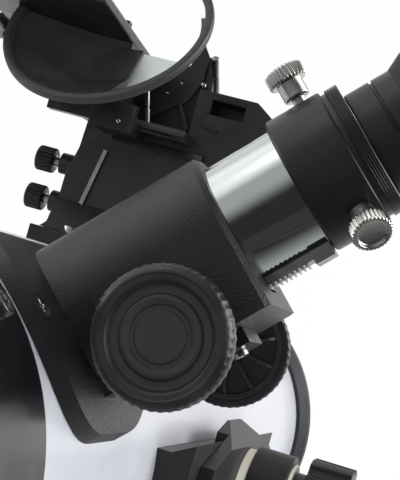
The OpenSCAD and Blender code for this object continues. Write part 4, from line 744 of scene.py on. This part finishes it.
strength = addNode(tree, "ShaderNodeMix", {"Factor": inMirror, "A": 1.0, "B": paperWhite})
share = combined(tree, "MULTIPLY", inPicture, stageSettings["pictureShare"])
share = combined(tree, "MAXIMUM", share, inMirror)
paper = addNode(tree, "ShaderNodeBsdfDiffuse", {"Color": linear(stageSettings["floorColour"])})
glow = addNode(tree, "ShaderNodeEmission", {"Color": (1, 1, 1, 1), "Strength": strength.outputs[0]})
mixed = addNode(tree, "ShaderNodeMixShader", {0: share, 1: paper.outputs[0], 2: glow.outputs[0]})
addNode(tree, "ShaderNodeOutputMaterial", {"Surface": mixed.outputs[0]})
floorMesh.materials.append(floorMaterial)

# the sky is white in the picture and even on dull surfaces; metal sees the dark studio with its glows
world = bpy.data.worlds.new("studio")
bpy.context.scene.world = world
world.use_nodes = True
tree = world.node_tree
tree.nodes.clear()
inPicture, inMirror = seenRays(tree)
where = addNode(tree, "ShaderNodeTexCoord").outputs["Generated"]
skyWhite = stageSettings["darkShare"]
for direction, low, high, level in stageSettings["glows"]:
    glow = rising(tree, where, unit(direction).tolist(), low, high, 0.0, level)
    skyWhite = combined(tree, "ADD", skyWhite, glow)
strength = addNode(tree, "ShaderNodeMix", {"Factor": inPicture, "A": stageSettings["worldLight"], "B": 1.0})
strength = addNode(tree, "ShaderNodeMix", {"Factor": inMirror, "A": strength.outputs[0], "B": skyWhite})
glow = addNode(tree, "ShaderNodeBackground", {
    "Color": linear(stageSettings["worldColour"]), "Strength": strength.outputs[0]})
addNode(tree, "ShaderNodeOutputWorld", {"Surface": glow.outputs[0]})

# soft boxes: where each stands, what it points at, its size in metres and its power in watts
softBoxes = [
    dict(name="keyBox", at=(-0.9, -1.0, 1.9), to=(0.05, 0.0, 0.45), size=1.6, power=13),
    dict(name="rimBox", at=(1.5, 0.85, 0.8), to=(0.1, 0.0, 0.45), size=0.9, power=10),
    dict(name="fillBox", at=(0.42, -1.4, 1.1), to=(0.1, 0.0, 0.4), size=0.8, power=15),
]
for box in softBoxes:
    lamp = bpy.data.lights.new(box["name"], "AREA")
    lamp.size = box["size"]
    lamp.energy = box["power"]
    lampObject = bpy.data.objects.new(box["name"], lamp)
    lampObject.location = box["at"]
    aim = Vector(box["to"]) - Vector(box["at"])
    lampObject.rotation_euler = aim.to_track_quat("-Z", "Y").to_euler()
    lampObject.visible_glossy = False  # metal sees the glows of the world in its place
    bpy.context.scene.collection.objects.link(lampObject)

# the photograph's viewpoint: place in metres, the picture's right and up, lens and film width in millimetres
cameraSettings = dict(
    place=(0.17798, -0.44728, 0.68027), right=(0.93767, 0.32139, 0.13219),
    up=(-0.25852, 0.39088, 0.88339), lens=105.12, film=36.0, nearest=0.01)
lensData = bpy.data.cameras.new("camera")
lensData.lens = cameraSettings["lens"]
lensData.sensor_width = cameraSettings["film"]
lensData.sensor_fit = "AUTO"
lensData.clip_start = cameraSettings["nearest"]
camera = bpy.data.objects.new("camera", lensData)
back = np.cross(cameraSettings["right"], cameraSettings["up"])
turn = np.stack([cameraSettings["right"], cameraSettings["up"], back], 1)
camera.matrix_world = Matrix.Translation(cameraSettings["place"]) @ Matrix(turn.tolist()).to_4x4()
bpy.context.scene.collection.objects.link(camera)
bpy.context.scene.camera = camera
bpy.context.scene.view_settings.view_transform = "Standard"
print("stage: %d lamps" % len(softBoxes))
